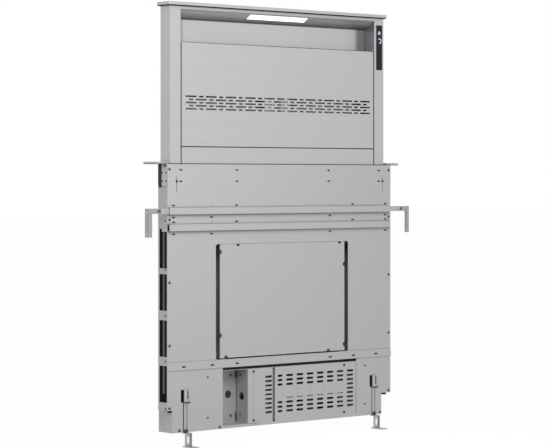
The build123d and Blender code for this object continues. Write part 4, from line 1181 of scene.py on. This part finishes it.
class VENT_OT_gear_motor(Operator):
    """Model the gearbox with its lid, hub and screws, and the motor with its end bell"""

    bl_idname = "vent.gear_motor"
    bl_label = "Gear motor"

    def execute(self, context):
        low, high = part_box("gearmotor")
        corner = 0.0055
        box_low = Vector((-high.x, low.y, low.z))
        box_high = Vector((high.x, high.y, low.z + GEAR_CASE_HEIGHT))
        box = add_block("gearbox", box_low, box_high)
        bevel_edges(box, lambda a, b: abs(a.z - b.z) > 0.02, 0.004, 4)
        inset_faces(box, faces_up, (0.0016, 0), (0.0005, -0.0006), (0.0006, 0.0006))
        bevel_all(box, 0.0006)
        hub_middle = (0, SHAFT_DEPTH, (box_high.z + high.z) / 2)
        hub = add_rod("hub", hub_middle, 0.010, high.z - box_high.z, "Z", 40)
        inset_faces(hub, faces_up, (0.0035, 0), (0.0004, -0.002))
        bevel_all(hub, 0.0005)
        screw = cross_head("lid_screw", 0.0024, 0.0011, 0.5)
        screws = []
        for x_side in (-1, 1):
            for y_place in (box_low.y + corner, box_high.y - corner):
                place = (x_side * (box_high.x - corner), y_place, box_high.z - 0.0008)
                screws.append(copy_to(screw, place))
        remove(screw)
        gears = join("gear_case", [box, hub] + screws)
        dress(gears, "cast_zinc", "housing", "motor", "gearmotor")
        dress(self.can(low, box_low), "motor_enamel", "housing", "motor", "gearmotor")
        return {"FINISHED"}

    def can(self, low, box_low):
        """The motor's round can with two rolled grooves, its end bell and its two tags."""
        radius = 0.017
        level = low.z + 0.003 + radius
        end = low.x + 0.006
        middle = ((end + box_low.x) / 2, SHAFT_DEPTH, level)
        can = add_rod("can", middle, radius, box_low.x - end, "X", 48)
        for place in (end + 0.010, box_low.x - 0.008):
            groove = add_rod("groove", (place, SHAFT_DEPTH, level), radius * 1.2, 0.0016, "X", 48)
            core = add_rod("core", (place, SHAFT_DEPTH, level), radius - 0.0006, 0.01, "X", 48)
            cut_away(groove, core)
            cut_away(can, groove)
        bevel_all(can, 0.0006, 1)
        bell = add_rod("bell", ((low.x + end) / 2, SHAFT_DEPTH, level), 0.006, 0.006, "X", 32)
        bevel_all(bell, 0.0008)
        tags = []
        for offset in (-0.010, 0.010):
            tag = add_block(
                "tag", (end - 0.004, SHAFT_DEPTH + offset - 0.0015, level - 0.0003),
                (end, SHAFT_DEPTH + offset + 0.0015, level + 0.0003),
            )
            inset_faces(tag, lambda centre, normal: abs(normal.x) > 0.9, (0.00015, 0))
            tags.append(tag)
        return join("motor_can", [can, bell] + tags)


# ---------------------------------------------------------------- electronics
# place from the board's left end, width, depth, height, middle above its lower edge, and the kind
BOARD_PARTS = (
    (0.030, 0.028, 0.016, 0.020, 0.098, "relay"),
    (0.070, 0.028, 0.016, 0.020, 0.098, "relay"),
    (0.120, 0.040, 0.022, 0.050, 0.078, "transformer"),
    (0.180, 0.030, 0.014, 0.030, 0.088, "drum"),
    (0.040, 0.022, 0.012, 0.040, 0.028, "sink"),
    (0.105, 0.050, 0.010, 0.030, 0.023, "plug"),
    (0.175, 0.060, 0.018, 0.022, 0.023, "drum"),
)


class VENT_OT_power_board(Operator):
    """Model the power board with its relays, transformer, drums, heat sink and plug"""

    bl_idname = "vent.power_board"
    bl_label = "Power board"

    def execute(self, context):
        low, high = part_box("power_board")
        face = high.y - 0.0096
        board = add_block("board", (low.x, face, low.z), (high.x, face + 0.0016, high.z))
        bevel_edges(board, lambda a, b: abs(a.y - b.y) > 0.001, 0.003, 4)
        posts = []
        for x_place in (low.x + 0.006, high.x - 0.006):
            for z_place in (low.z + 0.006, high.z - 0.006):
                middle = (x_place, (face + high.y) / 2 + 0.0008, z_place)
                post = add_rod("post", middle, 0.003, 0.008, "Y", 6)
                head = add_rod("head", (x_place, face - 0.001, z_place), 0.003, 0.002, "Y", 20)
                bevel_all(head, 0.0007)
                bevel_all(post, 0.0003, 1)
                posts.extend((post, head))
        dress(board, "circuit_board", "housing", "circuit_board", "power_board")
        dress(join("board_posts", posts), "aluminium", "housing", "screws", "power_board")
        groups = {}
        for offset, width, depth, height, middle, kind in BOARD_PARTS:
            corner = Vector((low.x + offset, face - depth, low.z + middle - height / 2))
            opposite = corner + Vector((width, depth, height))
            for finish, part in getattr(self, kind)(corner, opposite):
                groups.setdefault(finish, []).append(part)
        for finish, parts in groups.items():
            dress(join("board_" + finish, parts), finish, "housing", "circuit_board", "power_board")
        return {"FINISHED"}

    def relay(self, low, high):
        """A moulded box with a step round its foot."""
        box = add_block("relay", low, high)
        inset_faces(box, faces_front, (0.0012, 0), (0.0004, 0.0005))
        bevel_all(box, 0.0007)
        return [("black_plastic", box)]

    def transformer(self, low, high):
        """A laminated core round two copper windings."""
        middle = (low + high) / 2
        core = add_block("core", (low.x, low.y + 0.004, low.z), (high.x, high.y - 0.003, high.z))
        bevel_all(core, 0.0006, 1)
        parts = [("dark_steel_and_painted_shade", core)]
        for side in (-1, 1):
            centre = (middle.x, middle.y, middle.z + side * (high.z - low.z) * 0.24)
            coil = add_rod("coil", centre, (high.x - low.x) * 0.36, high.y - low.y, "Y", 32)
            inset_faces(coil, faces_front, (0.004, -0.001))
            bevel_all(coil, 0.001)
            parts.append(("copper_wire", coil))
        return parts

    def drum(self, low, high):
        """Round capacitors in their sleeves, side by side."""
        radius = (high.z - low.z) / 2
        count = max(1, int((high.x - low.x) / (2 * radius)))
        step = (high.x - low.x) / count
        parts = []
        for number in range(count):
            centre = (low.x + step * (number + 0.5), (low.y + high.y) / 2, (low.z + high.z) / 2)
            drum = add_rod("drum", centre, radius * 0.95, high.y - low.y, "Y", 32)
            inset_faces(drum, faces_front, (0.0016, -0.0005))
            bevel_all(drum, 0.0008)
            parts.append(("blue_sleeve", drum))
        return parts

    def sink(self, low, high):
        """A heat sink: a back plate and upright fins."""
        plate = add_block("plate", (low.x, high.y - 0.003, low.z), (high.x, high.y, high.z))
        bevel_all(plate, 0.0004, 1)
        parts = [("aluminium", plate)]
        fins = 6
        for number in range(fins):
            place = low.x + (high.x - low.x - 0.0014) * number / (fins - 1)
            fin = add_block("fin", (place, low.y, low.z), (place + 0.0014, high.y - 0.002, high.z))
            bevel_all(fin, 0.0003, 1)
            parts.append(("aluminium", fin))
        return parts

    def plug(self, low, high):
        """A plug housing with a row of square sockets."""
        box = add_block("plug", low, high)
        bevel_all(box, 0.0006, 1)
        for number in range(6):
            place = low.x + (high.x - low.x) * (number + 0.5) / 6
            socket = add_block(
                "socket", (place - 0.0022, low.y - 0.01, low.z + 0.006),
                (place + 0.0022, low.y + 0.006, high.z - 0.006),
            )
            cut_away(box, socket)
        return [("grey_plastic", box)]


class VENT_OT_terminals(Operator):
    """Model the terminal block with its screws, and the run capacitor in its clamp"""

    bl_idname = "vent.terminals"
    bl_label = "Terminal block and capacitor"

    def execute(self, context):
        low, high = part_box("terminal_block")
        count = 4
        pitch = (high.x - low.x) / count
        cell = add_block("cell", (0, low.y, low.z), (pitch - 0.0006, high.y, high.z))
        bevel_all(cell, 0.0008)
        cut_away(cell, add_rod("well", (pitch / 2, low.y, high.z - 0.006), 0.003, 0.02, "Y", 24))
        cut_away(cell, add_rod("entry", (pitch / 2, high.y - 0.012, low.z), 0.0035, 0.016, "Z", 24))
        cells = [copy_to(cell, (low.x + number * pitch, 0, 0)) for number in range(count)]
        remove(cell)
        strip = add_block(
            "strip", (low.x + 0.001, high.y - 0.004, low.z + 0.002),
            (high.x - 0.001, high.y, high.z - 0.002),
        )
        bevel_all(strip, 0.0004, 1)
        block = join("terminal_cells", cells + [strip])
        dress(block, "black_plastic", "housing", "plastic_parts", "terminal_block")
        screw = cross_head("clamp_screw", 0.0026, 0.002, 0.6)
        screws = []
        for number in range(count):
            place = (low.x + (number + 0.5) * pitch - 0.0003, low.y + 0.009, high.z - 0.006)
            screws.append(copy_to(screw, place, (math.pi / 2, 0, 0)))
        remove(screw)
        dress(join("terminal_screws", screws), "screw_steel", "housing", "screws", "terminal_block")
        self.run_capacitor()
        return {"FINISHED"}

    def run_capacitor(self):
        """The round run capacitor: rolled rim, two tags and the clamp round its middle."""
        low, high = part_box("motor_capacitor")
        centre = (low + high) / 2
        radius = (high.x - low.x) / 2
        can_middle = (centre.x, centre.y, (low.z + high.z) / 2 - 0.002)
        can = add_rod("can", can_middle, radius - 0.0006, high.z - low.z - 0.004, "Z", 48)
        inset_faces(can, faces_up, (0.0012, 0.0), (0.0004, -0.0012))
        bevel_all(can, 0.0005)
        tags = []
        for offset in (-0.005, 0.005):
            tag = add_block(
                "tag", (centre.x + offset - 0.0004, centre.y - 0.003, high.z - 0.006),
                (centre.x + offset + 0.0004, centre.y + 0.003, high.z),
            )
            bevel_all(tag, 0.0002, 1)
            tags.append(tag)
        dress(
            join("run_capacitor", [can] + tags),
            "aluminium", "housing", "motor", "motor_capacitor",
        )
        band = add_rod("capacitor_clamp", centre, radius, 0.012, "Z", 48)
        cut_away(band, add_rod("bore", centre, radius - 0.0007, 0.05, "Z", 48))
        bevel_all(band, 0.0002, 1)
        dress(band, "zinc_plate", "housing", "zinc_parts", "motor_capacitor")


# ---------------------------------------------------------------- leg clamps
class VENT_OT_leg_clamps(Operator):
    """Model the knurled clamp knobs on the two legs"""

    bl_idname = "vent.leg_clamps"
    bl_label = "Leg clamps"

    def execute(self, context):
        for side in ("left", "right"):
            low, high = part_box("leg_" + side)
            place = ((low.x + high.x) / 2, KNOB_DEPTH, KNOB_LEVEL)
            knob = add_rod("leg_knob_" + side, place, 0.0044, 0.0062, "Y", 36)
            pick_faces(knob, lambda centre, normal: abs(normal.y) < 0.5)
            bpy.ops.mesh.inset(thickness=0.00025, depth=-0.0004, use_individual=True)
            leave_edit()
            inset_faces(knob, faces_front, (0.001, 0), (0.0006, -0.0012))
            dress(knob, "knob_steel", "leg_" + side, "screws")
        return {"FINISHED"}


# ---------------------------------------------------------------- small trim
class VENT_OT_door_trim(Operator):
    """Model a thin dark strip along the upper edge of the door, painted shade of its edge line"""

    bl_idname = "vent.door_trim"
    bl_label = "Door trim"

    def execute(self, context):
        low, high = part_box("door_panel")
        # a dark strip as painted shade along the door's upper edge
        strip = add_block(
            "door_edge_shade_strip", (low.x + 0.001, low.y + 0.0002, high.z - 0.0002),
            (high.x - 0.001, low.y + 0.0016, high.z + 0.0014),
        )
        bevel_all(strip, 0.0003)
        dress(strip, "dark_steel_and_painted_shade", "door", "rubber")
        return {"FINISHED"}


class VENT_OT_leg_hoods(Operator):
    """Model the pressed hoods over the right half of the leg windows, with dark pieces of painted
    shade in their slots and beneath them
    """

    bl_idname = "vent.leg_hoods"
    bl_label = "Leg window hoods"

    def execute(self, context):
        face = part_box("lower_front")[0].y
        bottom, top = HOOD_ENDS
        hoods = []
        shade_pieces = []
        for centre in LEG_WINDOWS:
            left, right = centre - 0.005, centre + 0.016
            back = face + 0.0002
            hood = add_block("hood", (left, face - 0.003, bottom), (right, back, top))
            pick_edges(
                hood,
                lambda a, b: max(a.y, b.y) < face - 0.002 and min(a.x, b.x) > centre + 0.015,
            )
            bpy.ops.transform.translate(value=(-0.006, 0, 0))
            leave_edit()
            bevel_all(hood, 0.0005)
            slot = add_block(
                "slot", (centre + 0.0050, face - 0.01, bottom + 0.009),
                (centre + 0.0092, face - 0.0015, top - 0.003),
            )
            cut_away(hood, slot)
            hoods.append(hood)
            # a dark inlay in the hood's slot: painted shade of the opening
            inlay = add_block(
                "inlay", (centre + 0.0048, face - 0.0024, bottom + 0.0088),
                (centre + 0.0094, face - 0.0011, top - 0.0028),
            )
            bevel_all(inlay, 0.0001, 1)
            # a dark ledge under the hood: painted shadow below its lower edge
            ledge = add_block(
                "ledge", (left, face - 0.0036, bottom - 0.0020), (right, back, bottom + 0.0006)
            )
            bevel_all(ledge, 0.0004, 1)
            shade_pieces.extend((inlay, ledge))
        dress(join("leg_hoods", hoods), "satin_sheet", "housing", "housing_sheet")
        dress(join("leg_hood_slot_shade", shade_pieces), "dark_steel_and_painted_shade", "housing", "black_steel")
        return {"FINISHED"}


class VENT_OT_arm_screws(Operator):
    """Model the screws that join each side arm to its tongue"""

    bl_idname = "vent.arm_screws"
    bl_label = "Arm screws"

    def execute(self, context):
        screw = cross_head("arm_screw", 0.0036, 0.0022, 0.6)
        for side in ("left", "right"):
            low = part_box("arm_bracket_" + side)[0]
            outward = 1 if low.x > 0 else -1
            place = (outward * ARM_SCREW_REACH, low.y + 0.0018, ARM_SCREW_LEVEL)
            head = copy_to(screw, place, (math.pi / 2, 0, 0))
            head.name = "arm_screw_" + side
            dress(head, "screw_metal", "arm_" + side, "screws")
        remove(screw)
        return {"FINISHED"}


class VENT_OT_rail_plugs(Operator):
    """Model black plugs in the ends of the lower rail, painted shade of its open ends, and the
    bumpers under the wings
    """

    bl_idname = "vent.rail_plugs"
    bl_label = "Rail plugs and bumpers"

    def execute(self, context):
        low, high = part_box("front_rails")
        plugs = []
        for outward in (-1, 1):
            end = high.x if outward > 0 else low.x
            # a black plug as painted shade inside the open end of the rail
            plug = add_block(
                "plug",
                (end - outward * 0.0006, low.y + 0.0014, LOWER_RAIL_LEVEL - RAIL_PLUG_HALF),
                (end - outward * 0.006, RAIL_PLUG_BACK, LOWER_RAIL_LEVEL + RAIL_PLUG_HALF),
            )
            inset_faces(
                plug, lambda middle, normal: normal.x * outward > 0.9,
                (0.0012, 0), (0.0004, -0.0008),
            )
            plugs.append(plug)
        dress(join("rail_plugs", plugs), "black_plastic", "housing", "plastic_parts")
        self.bumpers()
        return {"FINISHED"}

    def bumpers(self):
        """Flat round rubber bumpers under the lower ends of the two wings."""
        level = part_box("side_channel_right")[0].z
        bumpers = []
        for outward in (-1, 1):
            place = (outward * BUMPER_REACH, BUMPER_DEPTH, level - 0.003)
            bumper = add_rod("bumper", place, 0.008, 0.006, "Z", 40)
            inset_faces(bumper, faces_down, (0.003, 0), (0.0006, -0.0008))
            bevel_all(bumper, 0.0007)
            bumpers.append(bumper)
        dress(join("wing_bumpers", bumpers), "black_rubber", "housing", "rubber")


class VENT_OT_bay_fittings(Operator):
    """Model the dark knock-out disc, tab slots and corner bead of the junction bay, painted shade
    of the hole, the slots and the inner corner
    """

    bl_idname = "vent.bay_fittings"
    bl_label = "Junction bay fittings"

    def execute(self, context):
        # a dark disc as painted shade of the knock-out hole
        plug = add_rod("knockout_shade_disc", KNOCKOUT_PLACE, 0.0109, 0.0014, "Y", 48)
        inset_faces(plug, faces_front, (0.0016, 0), (0.0005, -0.0005))
        bevel_all(plug, 0.0002)
        dress(plug, "dark_steel_and_painted_shade", "housing", "black_steel")
        tabs = []
        corner_x, corner_y = BAY_CORNER
        bottom, top = BAY_BEAD_ENDS
        for level in BAY_TAB_LEVELS:
            # dark blocks as painted shade in the tab slots
            tab = add_block(
                "tab", (corner_x - 0.0046, corner_y - 0.0014, level - 0.008),
                (corner_x - 0.0006, corner_y + 0.0001, level + 0.008),
            )
            bevel_all(tab, 0.0003, 1)
            tabs.append(tab)
        # a dark bead as painted shade in the inner corner
        bead = add_block(
            "bead", (corner_x - 0.0018, corner_y - 0.0010, bottom),
            (corner_x - 0.0006, corner_y + 0.0001, top),
        )
        bevel_all(bead, 0.0003, 1)
        tabs.append(bead)
        dress(join("bay_slot_and_corner_shade", tabs), "dark_steel_and_painted_shade", "housing", "black_steel")
        return {"FINISHED"}


class VENT_OT_cover_marks(Operator):
    """Model dark strips of painted shade for the narrow slits of the vented cover and the fold line
    of the wiring cover
    """

    bl_idname = "vent.cover_marks"
    bl_label = "Cover slits and fold"

    def execute(self, context):
        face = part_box("vent_cover")[0].y
        marks = []
        # a dark strip as painted shade of each slit's opening
        slit = add_block("slit", (-0.012, face - 0.0002, -0.0008), (0.012, face + 0.0006, 0.0008))
        bevel_all(slit, 0.00015, 1)
        for column in range(1, 7):
            place_x = COVER_SLIT_START - column * COVER_SLIT_PITCH
            marks.append(copy_to(slit, (place_x, 0, COVER_SLIT_LEVEL)))
        remove(slit)
        low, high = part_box("wiring_cover")
        left, right = WIRING_FOLD
        # a dark strip as painted shade along the fold
        fold = add_block(
            "fold", (left, low.y - 0.0001, low.z + 0.002), (right, low.y + 0.0005, high.z - 0.002)
        )
        bevel_all(fold, 0.0001, 1)
        marks.append(fold)
        dress(join("cover_slit_shade", marks), "dark_steel_and_painted_shade", "housing", "housing_sheet")
        return {"FINISHED"}


# ---------------------------------------------------------------- back
class VENT_OT_back_fittings(Operator):
    """Model the flange round the duct outlet and the screws of the back panel"""

    bl_idname = "vent.back_fittings"
    bl_label = "Back fittings"

    def execute(self, context):
        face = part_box("back_panel")[1].y
        width = OUTLET_HALF_WIDTH
        bottom, top = OUTLET_LEVEL - OUTLET_HALF_HEIGHT, OUTLET_LEVEL + OUTLET_HALF_HEIGHT
        flange = add_block(
            "duct_flange", (-width - OUTLET_RIM, face - 0.0001, bottom - OUTLET_RIM),
            (width + OUTLET_RIM, face + 0.0009, top + OUTLET_RIM),
        )
        opening = add_block("opening", (-width, face - 0.01, bottom), (width, face + 0.01, top))
        cut_away(flange, opening)
        bevel_all(flange, 0.0003, 1)
        dress(flange, "zinc_plate", "housing", "zinc_parts")
        head = cross_head("back_screw", 0.0034, 0.0010, 0.5)
        turn = (-math.pi / 2, 0, 0)
        heads = []
        for columns, rows in (
            ((-OUTLET_SCREW_REACH, OUTLET_SCREW_REACH), OUTLET_SCREW_LEVELS),
            ((-BACK_SCREW_REACH, BACK_SCREW_REACH), BACK_SCREW_LEVELS),
            (BACK_SCREW_COLUMNS, BACK_SCREW_ROWS),
        ):
            for column in columns:
                heads.extend(copy_to(head, (column, face, row), turn) for row in rows)
        remove(head)
        dress(join("back_screws", heads), "screw_metal", "housing", "screws")
        return {"FINISHED"}


# ---------------------------------------------------------------- panel and registration
PIECES = (
    VENT_OT_stage,
    VENT_OT_sheet_metal,
    VENT_OT_light_lens,
    VENT_OT_touch_control,
    VENT_OT_screws,
    VENT_OT_grease_filters,
    VENT_OT_cap_seal,
    VENT_OT_hold_down_strips,
    VENT_OT_lift_screw,
    VENT_OT_gear_motor,
    VENT_OT_power_board,
    VENT_OT_terminals,
    VENT_OT_leg_clamps,
    VENT_OT_door_trim,
    VENT_OT_leg_hoods,
    VENT_OT_arm_screws,
    VENT_OT_rail_plugs,
    VENT_OT_bay_fittings,
    VENT_OT_cover_marks,
    VENT_OT_back_fittings,
)


class VENT_PT_panel(Panel):
    """Buttons for the stage and every group of pieces."""

    bl_idname = "VENT_PT_panel"
    bl_label = "Downdraft vent"
    bl_space_type = "VIEW_3D"
    bl_region_type = "UI"
    bl_category = "Downdraft vent"

    def draw(self, context):
        for piece in PIECES:
            self.layout.operator(piece.bl_idname)
        for group in (context.scene.vent_sizes, context.scene.vent_colours):
            for name in group.__annotations__:
                self.layout.prop(group, name)


CLASSES = (VentSizes, VentColours, *PIECES, VENT_PT_panel)


def register():
    """Register the classes and the vent's settings."""
    for item in CLASSES:
        bpy.utils.register_class(item)
    bpy.types.Scene.vent_sizes = PointerProperty(type=VentSizes)
    bpy.types.Scene.vent_colours = PointerProperty(type=VentColours)


def unregister():
    """Remove the classes and the vent's settings."""
    del bpy.types.Scene.vent_colours
    del bpy.types.Scene.vent_sizes
    for item in reversed(CLASSES):
        bpy.utils.unregister_class(item)


def main():
    """Dress the vent."""
    register()
    bpy.ops.vent.stage()
    bpy.ops.vent.sheet_metal()
    bpy.ops.vent.light_lens()
    bpy.ops.vent.touch_control()
    bpy.ops.vent.screws()
    bpy.ops.vent.grease_filters()
    bpy.ops.vent.cap_seal()
    bpy.ops.vent.hold_down_strips()
    bpy.ops.vent.lift_screw()
    bpy.ops.vent.gear_motor()
    bpy.ops.vent.power_board()
    bpy.ops.vent.terminals()
    bpy.ops.vent.leg_clamps()
    bpy.ops.vent.door_trim()
    bpy.ops.vent.leg_hoods()
    bpy.ops.vent.arm_screws()
    bpy.ops.vent.rail_plugs()
    bpy.ops.vent.bay_fittings()
    bpy.ops.vent.cover_marks()
    bpy.ops.vent.back_fittings()


if __name__ == "__main__":
    main()
